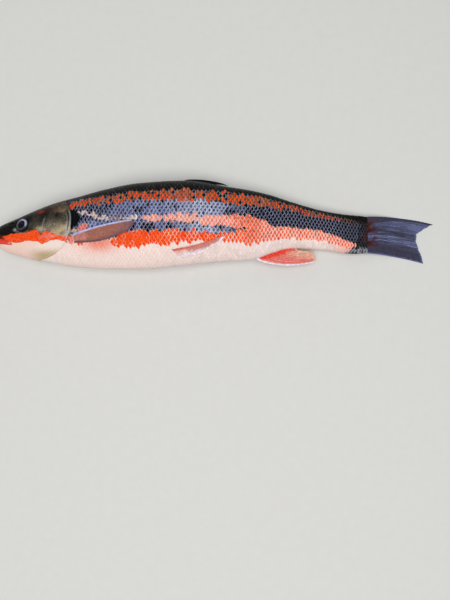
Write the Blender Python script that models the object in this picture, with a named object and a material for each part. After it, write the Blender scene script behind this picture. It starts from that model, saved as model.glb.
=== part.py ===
"""A Japanese dace in breeding colours, lying on its right side with its back towards +Y.

The head points to -X and the left flank is up. Every piece of the fish is one closed solid.
The body is lofted from sections across X, whose back, belly and side lines run smoothly
through a few measured stations. It is parted at the mouth, the gill openings and twice
along the trunk. The fins are thin sheets whose rays fan from a root line on the body.
"""
import math

import bpy
import bmesh
from mathutils import Vector

MM = 0.001

# Gaps and sheets
GAP = 0.3 * MM
FIN_EDGE = 0.55 * MM
FIN_ROOT = 1.2 * MM

# Stations along the body in millimetres: distance from the snout, height of the back line,
# height of the belly line, half the width, and height of the middle plane over the floor.
STATIONS = (
    (0.0, -0.6, -0.6, 0.0, 13.4),
    (1.5, 3.0, -4.6, 3.9, 13.4),
    (5.6, 6.7, -9.2, 6.6, 13.5),
    (16.0, 11.2, -13.3, 9.4, 13.7),
    (27.0, 15.8, -16.2, 11.4, 13.9),
    (38.0, 20.3, -18.3, 13.2, 14.1),
    (50.0, 24.2, -20.6, 14.4, 14.3),
    (62.0, 27.4, -22.0, 14.8, 14.4),
    (80.0, 32.3, -23.2, 15.6, 15.0),
    (104.0, 36.6, -23.3, 16.5, 15.7),
    (136.0, 38.4, -20.6, 16.2, 15.4),
    (166.0, 34.6, -17.6, 13.6, 13.2),
    (182.0, 32.4, -16.6, 11.7, 11.8),
    (195.0, 29.6, -12.4, 10.2, 10.6),
    (211.0, 24.8, -8.3, 8.4, 9.3),
    (235.0, 18.7, -9.1, 6.3, 7.6),
    (252.0, 16.4, -11.7, 5.0, 6.3),
    (261.0, 15.8, -11.8, 3.4, 5.6),
    (266.0, 15.3, -11.4, 1.1, 5.2),
)
BODY_END = STATIONS[-1][0] * MM

# How square a section is: 2 is an ellipse
FULLNESS = ((0.0, 2.0), (16.0, 2.25), (38.0, 2.35), (62.0, 2.2), (104.0, 2.1), (235.0, 2.2), (266.0, 2.5))

# Gill opening, and the line where the gill cover meets the cheek
NAPE_X = 51.0 * MM
GILL_REAR_X = 60.4 * MM
THROAT_X = 33.0 * MM
GILL_REAR_ANGLE = math.radians(78)
COVER_FRONT_X = 42.0 * MM
COVER_FRONT_LOW_X = 30.0 * MM
COVER_CORNER = 3.5 * MM
COVER_TOP_ANGLE = math.radians(36)
COVER_LOW_ANGLE = math.radians(146)
COVER_PROUD = 0.3 * MM
COVER_DEPTH = 0.8 * MM
COVER_EDGE_DEPTH = 0.35 * MM
HEAD_CAP_X = 48.0 * MM

# Mouth: in millimetres, the slit runs back from the snout to its corner, then down to the throat
MOUTH_LINE = ((0.0, -1.9), (8.0, -3.2), (15.0, -4.9), (22.0, -9.8), (29.0, -16.6))
MOUTH_GAP = 0.4 * MM
JAW_TIP_X = 2.4 * MM
JAW_REAR_X = 27.6 * MM
JAW_NOSE = 9.0 * MM

# Eyes, as flattened balls
EYE_X = 25.0 * MM
EYE_Y = 6.5 * MM
EYE_RADIUS = 5.0 * MM
EYE_HALF_DEPTH = 3.1 * MM
EYE_SINK = 1.75 * MM
EYE_SEGMENTS = 24

# Cuts across the trunk
TRUNK_CUT_X = 134.0 * MM
TAIL_CUT_X = 209.0 * MM

# The right pectoral fin lies flat on the floor in a shallow bed under the body
BED_START = (62.0 * MM, -4.0 * MM)
BED_END = (99.0 * MM, -7.0 * MM)
BED_RADIUS = 9.0 * MM
BED_RIM = 3.0 * MM
BED_HEIGHT = FIN_EDGE + GAP + 0.15 * MM

# Mesh counts
RING_POINTS = 38
SNOUT_COLUMNS = 14
COVER_COLUMNS = 5

COLOURS = {
    "head": (0.05, 0.045, 0.03),
    "lower_jaw": (0.62, 0.22, 0.13),
    "gill_cover_left": (0.26, 0.17, 0.07),
    "gill_cover_right": (0.26, 0.17, 0.07),
    "trunk_front": (0.55, 0.12, 0.04),
    "trunk_rear": (0.50, 0.11, 0.05),
    "tail_stalk": (0.03, 0.03, 0.04),
    "caudal_fin": (0.05, 0.05, 0.09),
    "dorsal_fin": (0.02, 0.025, 0.02),
    "anal_fin": (0.72, 0.16, 0.07),
    "pectoral_fin_left": (0.32, 0.13, 0.06),
    "pectoral_fin_right": (0.32, 0.13, 0.06),
    "pelvic_fin_left": (0.68, 0.34, 0.20),
    "pelvic_fin_right": (0.68, 0.34, 0.20),
    "eye_left": (0.01, 0.015, 0.03),
    "eye_right": (0.01, 0.015, 0.03),
}
WET_ROUGHNESS = 0.25


# ---------------------------------------------------------------- curves

def clamp(value, low=0.0, high=1.0):
    return max(low, min(high, value))


def ease(value):
    """Smooth step from 0 to 1."""
    value = clamp(value)
    return value * value * (3.0 - 2.0 * value)


def mix(start, end, share):
    return start + (end - start) * share


def curve_through(points):
    """A smooth curve through (position, value) points that never overshoots them."""
    spans = [b[0] - a[0] for a, b in zip(points, points[1:])]
    slopes = [(b[1] - a[1]) / span for a, b, span in zip(points, points[1:], spans)]
    tangents = [slopes[0]]
    for before, after in zip(slopes, slopes[1:]):
        tangents.append(2.0 * before * after / (before + after) if before * after > 0.0 else 0.0)
    tangents.append(slopes[-1])

    def value(position):
        position = clamp(position, points[0][0], points[-1][0])
        index = 0
        while index < len(spans) - 1 and position > points[index + 1][0]:
            index += 1
        span = spans[index]
        t = (position - points[index][0]) / span
        low, high = points[index][1], points[index + 1][1]
        rise = (1.0 + 2.0 * t) * (1.0 - t) ** 2 * low + t * t * (3.0 - 2.0 * t) * high
        return rise + t * (1.0 - t) * span * ((1.0 - t) * tangents[index] - t * tangents[index + 1])

    return value


def body_line(column):
    """A line along the body. Measured by the root of the distance, the snout comes out round."""
    curve = curve_through([(math.sqrt(row[0]), row[column]) for row in STATIONS])
    return lambda x: curve(math.sqrt(max(x, 0.0) / MM)) * MM


back_line = body_line(1)
belly_line = body_line(2)
half_width = body_line(3)
middle_height = body_line(4)
fullness_curve = curve_through(FULLNESS)
mouth_curve = curve_through(MOUTH_LINE)


# ---------------------------------------------------------------- body surface

def floor_level(x, y):
    """Height the underside keeps from the floor: the bed over the right pectoral fin, else 0."""
    start, end = Vector(BED_START), Vector(BED_END)
    run = end - start
    share = clamp((Vector((x, y)) - start).dot(run) / run.length_squared)
    distance = (Vector((x, y)) - start - run * share).length
    return BED_HEIGHT * (1.0 - ease((distance - BED_RADIUS) / BED_RIM))


def section_point(x, angle, inset=0.0, lift=0.0):
    """A point of the section at x. Angle 0 is the back, 90 degrees the left side, 180 the belly."""
    back, belly = back_line(x), belly_line(x)
    centre = (back + belly) / 2.0
    power = 2.0 / fullness_curve(x / MM)
    up, side = math.cos(angle), math.sin(angle)
    y = centre + math.copysign(abs(up) ** power, up) * ((back - belly) / 2.0 - inset)
    z = middle_height(x) + math.copysign(abs(side) ** power, side) * (half_width(x) - inset)
    return Vector((x, y, max(z, floor_level(x, y) + lift)))


def flank_height(x, y, side=1.0):
    """Height of the body's left (side 1) or right (side -1) surface over the point x, y."""
    back, belly = back_line(x), belly_line(x)
    reach = (y - (back + belly) / 2.0) / ((back - belly) / 2.0)
    fullness = fullness_curve(x / MM)
    rise = (1.0 - min(abs(reach), 1.0) ** fullness) ** (1.0 / fullness)
    return max(middle_height(x) + side * half_width(x) * rise, 0.0)


def around(angle):
    """The same angle measured from the back on either side, 0 to 180 degrees."""
    angle = angle % math.tau
    return min(angle, math.tau - angle)


def gill_edge(angle):
    """Distance from the snout to the rear rim of the head, round the section."""
    angle = around(angle)
    if angle < GILL_REAR_ANGLE:
        share = math.sin(math.pi / 2 * angle / GILL_REAR_ANGLE) ** 2
        return mix(NAPE_X, GILL_REAR_X, share)
    share = (angle - GILL_REAR_ANGLE) / (math.pi - GILL_REAR_ANGLE)
    return mix(THROAT_X, GILL_REAR_X, math.cos(math.pi / 2 * share) ** 1.6)


def cover_front(angle):
    """Distance from the snout to the front edge of the gill cover, a bow open towards the tail."""
    low = ease((around(angle) - math.radians(95)) / math.radians(70))
    top = ease((COVER_TOP_ANGLE + math.radians(34) - around(angle)) / math.radians(34))
    return mix(COVER_FRONT_X, COVER_FRONT_LOW_X, low) + COVER_CORNER * top


def cover_depth(column, angle):
    """Thickness of the gill cover below the body surface, thin along its front and sides."""
    from_front = column / COVER_COLUMNS
    from_side = min(around(angle) - COVER_TOP_ANGLE, COVER_LOW_ANGLE - around(angle))
    share = ease(from_front * 2.5) * ease(from_side / math.radians(25))
    return mix(COVER_EDGE_DEPTH, COVER_DEPTH, share)


def under_cover(angle):
    """True where the head's surface lies below a gill cover."""
    slack = math.radians(0.5)
    return COVER_TOP_ANGLE - slack < around(angle) < COVER_LOW_ANGLE + slack


def ring_angles():
    """Angles round a section, with a close pair on each long edge of the gill covers."""
    step = math.pi / (RING_POINTS // 2)
    half = [index * step for index in range(RING_POINTS // 2 + 1)]
    for edge, beyond in ((COVER_TOP_ANGLE, -1.0), (COVER_LOW_ANGLE, 1.0)):
        nearest = min(half, key=lambda angle: abs(angle - edge))
        half[half.index(nearest)] = edge
        half.append(edge + beyond * math.radians(1.3))
    half.sort()
    return half + [math.tau - angle for angle in reversed(half[1:-1])]


ANGLES = ring_angles()


# ---------------------------------------------------------------- mesh helpers

def add_object(name, mesh_data):
    """Makes a named object from a bmesh, with its normals out and a material of its own."""
    bmesh.ops.recalc_face_normals(mesh_data, faces=mesh_data.faces)
    mesh = bpy.data.meshes.new(name)
    mesh_data.to_mesh(mesh)
    mesh_data.free()
    mesh.shade_smooth()
    mesh.set_sharp_from_angle(angle=math.radians(40))
    material = bpy.data.materials.new(name)
    material.use_nodes = True
    shader = material.node_tree.nodes["Principled BSDF"]
    shader.inputs["Base Color"].default_value = (*COLOURS[name], 1.0)
    shader.inputs["Roughness"].default_value = WET_ROUGHNESS
    shader.inputs["Metallic"].default_value = 0.0
    mesh.materials.append(material)
    obj = bpy.data.objects.new(name, mesh)
    bpy.context.scene.collection.objects.link(obj)
    return obj


def bridge(mesh_data, first, second):
    """Joins two closed rings of vertices with a band of faces."""
    count = len(first)
    for index in range(count):
        following = (index + 1) % count
        mesh_data.faces.new((first[index], first[following], second[following], second[index]))


def fan(mesh_data, ring, centre):
    """Closes a ring with triangles to one point."""
    tip = mesh_data.verts.new(centre)
    for index in range(len(ring)):
        mesh_data.faces.new((ring[index], ring[(index + 1) % len(ring)], tip))


def loft(name, rings, first_tip, last_tip):
    """One closed solid through rings of points, ended in a point at each end."""
    mesh_data = bmesh.new()
    loops = [[mesh_data.verts.new(point) for point in ring] for ring in rings]
    for first, second in zip(loops, loops[1:]):
        bridge(mesh_data, first, second)
    fan(mesh_data, loops[0], first_tip)
    fan(mesh_data, loops[-1], last_tip)
    return add_object(name, mesh_data)


def sheet(name, columns, rows, place, thickness):
    """A closed sheet. place(u, v) is its middle surface and thickness(u, v) its thickness."""
    mesh_data = bmesh.new()
    nudge = 0.01
    sides = ([], [])
    for column in range(columns + 1):
        lines = ([], [])
        for row in range(rows + 1):
            u, v = column / columns, row / rows
            along_u = place(min(u + nudge, 1.0), v) - place(max(u - nudge, 0.0), v)
            along_v = place(u, min(v + nudge, 1.0)) - place(u, max(v - nudge, 0.0))
            normal = along_u.cross(along_v).normalized() * (thickness(u, v) / 2.0)
            lines[0].append(mesh_data.verts.new(place(u, v) + normal))
            lines[1].append(mesh_data.verts.new(place(u, v) - normal))
        sides[0].append(lines[0])
        sides[1].append(lines[1])
    for grid in sides:
        for near, far in zip(grid, grid[1:]):
            for row in range(rows):
                mesh_data.faces.new((near[row], near[row + 1], far[row + 1], far[row]))
    top, under = (border(grid) for grid in sides)
    bridge(mesh_data, top, under)
    return add_object(name, mesh_data)


def border(grid):
    """The vertices round the edge of a grid, in order."""
    first, last = grid[0], grid[-1]
    near = [line[0] for line in grid[1:-1]]
    far = [line[-1] for line in grid[1:-1]]
    return first + far + last[::-1] + near[::-1]


# ---------------------------------------------------------------- head

def mouth_line(x):
    """Height of the cut between the head and the lower jaw."""
    return mouth_curve(x / MM) * MM


def head_point(x, angle, inset=0.0, lift=0.0):
    """A point of the head, which stops above the mouth line."""
    point = section_point(x, angle, inset, lift)
    if x < MOUTH_LINE[-1][0] * MM:
        point.y = max(point.y, mouth_line(x))
    return point


def head_ring(share):
    """A ring of the cheeks and snout, as a share of the way to the gill covers."""
    return [head_point(cover_front(angle) * share, angle) for angle in ANGLES]


def cover_x(column, angle):
    return mix(cover_front(angle), gill_edge(angle), column / COVER_COLUMNS)


def covered_ring(column):
    """A ring of the head below the gill covers, sunk by their thickness."""
    ring = []
    for angle in ANGLES:
        depth = cover_depth(column, angle) + GAP if under_cover(angle) else 0.0
        lift = depth + COVER_PROUD if depth else 0.0
        ring.append(section_point(cover_x(column, angle), angle, depth, lift))
    return ring


def make_head():
    """Skull, snout and cheeks, with a socket for each eye."""
    last_share = 1.0 - 0.45 * MM / COVER_FRONT_X
    shares = [last_share * (column / SNOUT_COLUMNS) ** 1.6 for column in range(1, SNOUT_COLUMNS + 1)]
    rings = [head_ring(share) for share in shares]
    rings += [covered_ring(column) for column in range(COVER_COLUMNS + 1)]
    tip = section_point(0.0, 0.0)
    rear = Vector((HEAD_CAP_X, (back_line(HEAD_CAP_X) + belly_line(HEAD_CAP_X)) / 2.0,
                   middle_height(HEAD_CAP_X)))
    head = loft("head", rings, tip, rear)
    for side in (1.0, -1.0):
        socket = make_eyeball("socket", side, GAP)
        socket.hide_render = True
        socket.display_type = "WIRE"
        cut = head.modifiers.new("socket", "BOOLEAN")
        cut.operation = "DIFFERENCE"
        cut.solver = "EXACT"
        cut.object = socket
    return head


def make_lower_jaw():
    """The lower jaw, shut, its tip a little behind the snout's."""
    arc_points, top_points, columns = 15, 7, 11
    rings = []
    for column in range(1, columns + 1):
        x = mix(JAW_TIP_X, JAW_REAR_X, (column / columns) ** 1.4)
        rings.append(jaw_ring(x, arc_points, top_points))
    tip = Vector((JAW_TIP_X, jaw_top(JAW_TIP_X) - GAP, middle_height(JAW_TIP_X)))
    rear_y = (jaw_top(JAW_REAR_X) + belly_line(JAW_REAR_X)) / 2.0
    return loft("lower_jaw", rings, tip, Vector((JAW_REAR_X, rear_y, middle_height(JAW_REAR_X))))


def jaw_top(x):
    return mouth_line(x) - MOUTH_GAP


def jaw_ring(x, arc_points, top_points):
    """A section of the jaw: the body's section below the mouth line, narrowed to the chin."""
    half_depth = (back_line(x) - belly_line(x)) / 2.0
    reach = clamp((back_line(x) + belly_line(x)) / 2.0 - jaw_top(x), 0.0, half_depth) / half_depth
    split = math.acos(-reach ** (fullness_curve(x / MM) / 2.0))
    narrowing = (1.0 - (1.0 - clamp((x - JAW_TIP_X) / JAW_NOSE)) ** 2) ** 0.45
    ring = []
    for index in range(arc_points):
        ring.append(section_point(x, mix(split, math.tau - split, index / (arc_points - 1))))
    for index in range(1, top_points):
        ring.append(ring[arc_points - 1].lerp(ring[0], index / top_points))
    pivot = Vector((x, jaw_top(x), middle_height(x)))
    return [pivot + (point - pivot) * narrowing for point in ring]


def make_gill_cover(name, side):
    """A bony plate from the cheek to the gill opening, standing a little proud of the body."""
    mesh_data = bmesh.new()
    angles = [angle for angle in ANGLES if 0.0 < angle < math.pi]
    angles = [angle for angle in angles if COVER_TOP_ANGLE - 1e-6 < angle < COVER_LOW_ANGLE + 1e-6]
    outer, inner = [], []
    for angle in angles:
        turned = angle if side > 0 else math.tau - angle
        outer_row, inner_row = [], []
        for column in range(COVER_COLUMNS + 1):
            x = cover_x(column, turned)
            depth = cover_depth(column, turned)
            outer_row.append(mesh_data.verts.new(section_point(x, turned, -COVER_PROUD)))
            inner_row.append(mesh_data.verts.new(section_point(x, turned, depth, depth + COVER_PROUD)))
        outer.append(outer_row)
        inner.append(inner_row)
    for grid in (outer, inner):
        for near, far in zip(grid, grid[1:]):
            for column in range(COVER_COLUMNS):
                mesh_data.faces.new((near[column], near[column + 1], far[column + 1], far[column]))
    bridge(mesh_data, border(outer), border(inner))
    return add_object(name, mesh_data)


def eye_frame(side):
    """Centre of an eye on the skin, and the direction it looks."""
    step = 1.0 * MM
    spot = Vector((EYE_X, EYE_Y, flank_height(EYE_X, EYE_Y, side)))
    ahead = Vector((EYE_X + step, EYE_Y, flank_height(EYE_X + step, EYE_Y, side)))
    above = Vector((EYE_X, EYE_Y + step, flank_height(EYE_X, EYE_Y + step, side)))
    normal = (ahead - spot).cross(above - spot).normalized() * side
    return spot, normal


def make_eyeball(name, side, margin=0.0):
    """A flattened ball, sunk into the head and looking along the skin's normal."""
    spot, normal = eye_frame(side)
    mesh_data = bmesh.new()
    bmesh.ops.create_uvsphere(mesh_data, u_segments=EYE_SEGMENTS, v_segments=EYE_SEGMENTS // 2, radius=1.0)
    bmesh.ops.scale(mesh_data, verts=mesh_data.verts,
                    vec=(EYE_RADIUS + margin, EYE_RADIUS + margin, EYE_HALF_DEPTH + margin))
    turn = normal.to_track_quat("Z", "Y").to_matrix()
    bmesh.ops.rotate(mesh_data, verts=mesh_data.verts, matrix=turn)
    bmesh.ops.translate(mesh_data, verts=mesh_data.verts, vec=spot - normal * EYE_SINK)
    if name in COLOURS:
        return add_object(name, mesh_data)
    mesh = bpy.data.meshes.new(name)
    mesh_data.to_mesh(mesh)
    mesh_data.free()
    cutter = bpy.data.objects.new(name, mesh)
    bpy.context.scene.collection.objects.link(cutter)
    return cutter


# ---------------------------------------------------------------- trunk

def trunk_ring(x):
    return [section_point(x, angle) for angle in ANGLES]


def section_centre(x):
    return Vector((x, (back_line(x) + belly_line(x)) / 2.0, middle_height(x)))


def make_trunk_front():
    """From the gill openings to the dorsal fin. Its front face follows the back of the head."""
    columns, step = 12, 1.2 * MM
    shift = Vector((GAP, 0.0, 0.0))
    rings = [[point + shift for point in covered_ring(COVER_COLUMNS)]]
    rings.append([section_point(gill_edge(angle) + GAP, angle, rim_inset(angle), rim_inset(angle))
                  for angle in ANGLES])
    for column in range(columns + 1):
        share = column / columns
        rings.append([section_point(mix(gill_edge(angle) + GAP + step, TRUNK_CUT_X, share), angle)
                      for angle in ANGLES])
    front = Vector((HEAD_CAP_X, (back_line(HEAD_CAP_X) + belly_line(HEAD_CAP_X)) / 2.0,
                    middle_height(HEAD_CAP_X))) + shift
    return loft("trunk_front", rings, front, section_centre(TRUNK_CUT_X))


def rim_inset(angle):
    """How far the trunk's front rim lies below the gill covers."""
    return 0.4 * MM if under_cover(angle) else 0.05 * MM


def make_length(name, start, end, columns):
    """A length of the body between two flat cuts."""
    rings = [trunk_ring(mix(start, end, column / columns)) for column in range(columns + 1)]
    return loft(name, rings, section_centre(start), section_centre(end))


# ---------------------------------------------------------------- fins

def fin_thickness(root, edge):
    """Thickness from the root line (v 0) to the outer edge (v 1)."""
    return lambda u, v: mix(root, edge, clamp(v * 1.6))


def ray_point(root, angle, length, bow, share):
    """A point on a ray in the XY plane. bow is its sideways bend at mid-length."""
    along = Vector((math.cos(angle), math.sin(angle)))
    across = Vector((-along.y, along.x))
    return Vector(root) + along * (length * share) + across * (bow * 4.0 * share * (1.0 - share))


def pectoral_plan(u, v):
    """The pectoral fin folded back along the flank, leading ray at u 0."""
    root = (mix(61.2, 62.2, u) * MM, mix(-0.6, -6.6, u) * MM)
    angle = math.radians(mix(12.5, 3.0, u ** 0.8))
    length = (41.5 - 25.0 * u ** 1.8) * MM
    return ray_point(root, angle, length, mix(1.2, -0.2, u) * MM, v)


def pectoral_left(u, v):
    point = pectoral_plan(u, v)
    lift = mix(GAP + FIN_ROOT / 2.0 + 0.1 * MM, 1.5 * MM, v)
    return Vector((point.x, point.y, flank_height(point.x, point.y) + lift))


def pectoral_right(u, v):
    point = pectoral_plan(u, v)
    root_y = pectoral_plan(u, 0.0).y
    return Vector((point.x, mix(point.y, root_y, 0.9) - 1.0 * MM, FIN_EDGE / 2.0 + 0.02 * MM))


def pelvic_plan(u, v):
    """The pelvic fin folded back and up, leading ray at u 0."""
    root = (mix(127.3, 132.0, u) * MM, mix(-10.8, -15.6, u) * MM)
    angle = math.radians(mix(15.5, 14.0, u))
    length = (35.5 - 18.0 * u ** 2.2) * MM
    return ray_point(root, angle, length, -1.6 * MM, v)


def pelvic_left(u, v):
    point = pelvic_plan(u, v)
    lift = mix(GAP + FIN_ROOT / 2.0 + 0.35 * MM, 1.3 * MM, v)
    return Vector((point.x, point.y, flank_height(point.x, point.y) + lift))


def pelvic_right(u, v):
    """On the floor side the pelvic fin hangs down from the belly to the floor."""
    root = pelvic_plan(u, 0.0)
    point = pelvic_plan(u, v)
    start = flank_height(root.x, root.y, -1.0) - GAP - FIN_ROOT / 2.0 - 0.5 * MM
    height = mix(start, FIN_EDGE / 2.0 + 0.02 * MM, ease(v * 1.3))
    return Vector((point.x, mix(point.y, root.y, 0.85), height))


def anal_place(u, v):
    """The anal fin folded back below the tail, sinking a little towards the floor."""
    x = mix(184.5, 213.6, u) * MM
    root = (x, belly_line(x) - GAP - 0.1 * MM)
    angle = math.radians(mix(-1.6, -6.0, u))
    length = (43.0 - 31.0 * u ** 1.1) * MM
    point = ray_point(root, angle, length, mix(-3.2, -0.4, u) * MM, v)
    return Vector((point.x, point.y, middle_height(x) - mix(0.0, 2.5, v * v) * MM))


def dorsal_place(u, v):
    """The dorsal fin folded flat along the back, a low smooth crest."""
    x = mix(133.0, 156.5, u) * MM
    root = (x, back_line(x) + GAP + 0.1 * MM)
    angle = math.radians(mix(-3.4, -6.5, u))
    length = mix(27.5, 9.0, u) * MM
    point = ray_point(root, angle, length, mix(1.3, 0.2, u) * MM, v)
    point.y = max(point.y, back_line(point.x) + mix(1.0, 0.45, u) * MM * v + GAP + 0.1 * MM)
    return Vector((point.x, point.y, middle_height(point.x) - 0.8 * MM * v))


def caudal_place(u, v):
    """The tail fin, half folded, its two lobes behind a shallow fork, sinking to the floor."""
    root = (BODY_END + GAP, mix(14.8, -11.0, u) * MM)
    angle = math.radians(mix(-5.2, -9.2, u) + 4.0 * math.sin(math.pi * u))
    length = (36.5 + mix(14.0, 6.5, u) * abs(2.0 * u - 1.0) ** 1.6) * MM
    point = ray_point(root, angle, length, mix(2.4, 1.4, u) * MM, v)
    floor = FIN_EDGE / 2.0 + 0.01 * MM
    height = mix(middle_height(BODY_END), floor, ease((point.x - BODY_END) / (30.0 * MM)))
    fold = 0.5 * MM * math.sin(math.pi * 5.0 * u) ** 2 * v * (1.0 - ease((v - 0.6) / 0.4))
    return Vector((point.x, point.y, height + fold))


def make_fins():
    fin = fin_thickness(FIN_ROOT, FIN_EDGE)
    flat = fin_thickness(FIN_EDGE, FIN_EDGE)
    sheet("pectoral_fin_left", 10, 8, pectoral_left, fin)
    sheet("pectoral_fin_right", 10, 6, pectoral_right, flat)
    sheet("pelvic_fin_left", 8, 7, pelvic_left, fin)
    sheet("pelvic_fin_right", 8, 7, pelvic_right, fin)
    sheet("anal_fin", 10, 6, anal_place, fin)
    sheet("dorsal_fin", 12, 6, dorsal_place, fin)
    sheet("caudal_fin", 20, 9, caudal_place, fin_thickness(1.7 * MM, FIN_EDGE))


# ---------------------------------------------------------------- whole fish

def centre_on_floor(objects):
    """Puts the middle of the fish's outline, seen from above, over the origin."""
    corners = [vertex.co for obj in objects for vertex in obj.data.vertices]
    middle_x = (min(c.x for c in corners) + max(c.x for c in corners)) / 2.0
    middle_y = (min(c.y for c in corners) + max(c.y for c in corners)) / 2.0
    for obj in bpy.context.scene.objects:
        obj.location -= Vector((middle_x, middle_y, 0.0))


def main():
    for obj in list(bpy.data.objects):
        bpy.data.objects.remove(obj, do_unlink=True)
    make_head()
    make_lower_jaw()
    make_gill_cover("gill_cover_left", 1.0)
    make_gill_cover("gill_cover_right", -1.0)
    make_trunk_front()
    make_length("trunk_rear", TRUNK_CUT_X + GAP, TAIL_CUT_X, 10)
    make_length("tail_stalk", TAIL_CUT_X + GAP, BODY_END, 9)
    make_fins()
    make_eyeball("eye_left", 1.0)
    make_eyeball("eye_right", -1.0)
    centre_on_floor([obj for obj in bpy.context.scene.objects if obj.name in COLOURS])


main()
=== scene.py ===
"""Looks of a Japanese dace in breeding colours, lying on its right side.

One skin covers the whole body, thin plates lie over it as scales, and the fins and the eyes
are pieces of their own. Shapes are worked out in millimetres from the snout tip (x towards
the tail, y towards the back, z over the floor), and placed() moves them onto the frame.
"""

import math

import bpy
import numpy as np
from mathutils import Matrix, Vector
from bpy.props import FloatProperty, FloatVectorProperty, IntProperty, PointerProperty


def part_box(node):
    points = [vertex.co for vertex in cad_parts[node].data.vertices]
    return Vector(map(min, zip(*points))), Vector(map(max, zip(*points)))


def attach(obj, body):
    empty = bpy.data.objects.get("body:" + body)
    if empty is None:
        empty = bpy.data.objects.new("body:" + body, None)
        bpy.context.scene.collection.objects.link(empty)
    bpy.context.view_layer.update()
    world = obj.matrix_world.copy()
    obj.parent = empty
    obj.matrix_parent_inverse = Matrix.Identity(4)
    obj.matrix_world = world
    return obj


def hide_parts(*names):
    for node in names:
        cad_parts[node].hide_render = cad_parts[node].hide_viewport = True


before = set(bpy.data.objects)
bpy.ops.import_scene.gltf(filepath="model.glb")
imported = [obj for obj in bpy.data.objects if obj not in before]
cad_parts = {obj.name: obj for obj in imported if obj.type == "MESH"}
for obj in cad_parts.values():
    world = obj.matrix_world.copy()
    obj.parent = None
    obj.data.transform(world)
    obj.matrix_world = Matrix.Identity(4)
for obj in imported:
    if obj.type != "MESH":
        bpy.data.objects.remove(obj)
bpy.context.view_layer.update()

bl_info = {
    "name": "Japanese dace",
    "version": (1, 0, 0),
    "blender": (4, 5, 0),
    "location": "View3D > Sidebar > Dace",
    "description": "Skin, scales, fins and eyes of a life-size dace, built around its solids",
    "category": "Object",
}

MM = 0.001


# ---------------------------------------------------------------- curves and noise

def ease(value):
    """Smooth step from 0 to 1."""
    value = np.clip(value, 0.0, 1.0)
    return value * value * (3.0 - 2.0 * value)


def rise(value, start, width):
    """Smooth step from 0 at start to 1 a width further on."""
    return ease((value - start) / width)


def fall(value, start, width):
    """Smooth step from 1 at start to 0 a width further on."""
    return 1.0 - rise(value, start, width)


def between(value, low, high, soft):
    """1 where the value lies between low and high, easing out over soft."""
    return rise(value, low - soft / 2.0, soft) * rise(-value, -high - soft / 2.0, soft)


def mix(start, end, share):
    """start where the share is 0, end where it is 1."""
    return start + (end - start) * share


def hump(value, width):
    """1 at value 0, falling away smoothly on both sides."""
    return np.exp(-(value / width) ** 2)


def most(*amounts):
    """The largest of the amounts at each point."""
    return np.maximum.reduce(np.broadcast_arrays(*amounts))


def curve_through(*points):
    """A smooth curve through (position, value) points that never overshoots them."""
    at, values = np.array(points, float).T
    spans = np.diff(at)
    slopes = np.diff(values) / spans
    before, after = slopes[:-1], slopes[1:]
    turning = before * after > 0.0
    inner = np.where(turning, 2.0 * before * after / np.where(turning, before + after, 1.0), 0.0)
    tangents = np.concatenate((slopes[:1], inner, slopes[-1:]))

    def value(position):
        position = np.clip(position, at[0], at[-1])
        index = np.clip(np.searchsorted(at, position, side="right") - 1, 0, len(spans) - 1)
        t = (position - at[index]) / spans[index]
        bend = (1.0 - t) * tangents[index] - t * tangents[index + 1]
        return mix(values[index], values[index + 1], ease(t)) + t * (1.0 - t) * spans[index] * bend

    return value


def lumps(x, y, size, seed):
    """Smooth noise from 0 to 1 whose lumps are size millimetres across."""
    x, y = np.asarray(x, float) / size, np.asarray(y, float) / size
    column, row = np.floor(x).astype(np.int64), np.floor(y).astype(np.int64)
    across, up = ease(x - column), ease(y - row)

    def corner(right, above):
        mixed = (column + right) * 374761393 + (row + above) * 668265263 + seed * 982451653
        mixed = (mixed ^ (mixed >> 13)) * 1274126177
        return ((mixed ^ (mixed >> 16)) & 0xFFFF) / 65535.0

    return mix(mix(corner(0, 0), corner(1, 0), across), mix(corner(0, 1), corner(1, 1), across), up)


# ---------------------------------------------------------------- measures in millimetres

# Stations along the body: distance from the snout, height of the back line, height of the
# belly line, half the width, and height of the middle plane over the floor.
STATIONS = (
    (0.0, -0.6, -0.6, 0.0, 13.4), (1.5, 3.0, -4.6, 3.9, 13.4), (5.6, 6.7, -9.2, 6.6, 13.5),
    (16.0, 11.2, -13.3, 9.4, 13.7), (27.0, 15.8, -16.2, 11.4, 13.9), (38.0, 20.3, -18.3, 13.2, 14.1),
    (50.0, 24.2, -20.6, 14.4, 14.3), (62.0, 27.4, -22.0, 14.8, 14.4), (80.0, 32.3, -23.2, 15.6, 15.0),
    (104.0, 36.6, -23.3, 16.5, 15.7), (136.0, 38.4, -20.6, 16.2, 15.4), (166.0, 34.6, -17.6, 13.6, 13.2),
    (182.0, 32.4, -16.6, 11.7, 11.8), (195.0, 29.6, -12.4, 10.2, 10.6), (211.0, 24.8, -8.3, 8.4, 9.3),
    (235.0, 18.7, -9.1, 6.3, 7.6), (252.0, 16.4, -11.7, 5.0, 6.3), (261.0, 15.8, -11.8, 3.4, 5.6),
    (266.0, 15.3, -11.4, 1.1, 5.2))
BODY_END = STATIONS[-1][0]
BELLY_LOWEST = min(row[2] for row in STATIONS)

# Head: the corner of the mouth, and how far the lower jaw is shorter than the upper one
MOUTH_CORNER, JAW_SETBACK = 17.0, 2.4
# Where the head ends at the nape, at the rearmost point of the gill cover, and at the throat
NAPE_X, GILL_REAR_X, THROAT_X = 51.0, 60.4, 33.0
GILL_REAR_ANGLE = math.radians(78)
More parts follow.
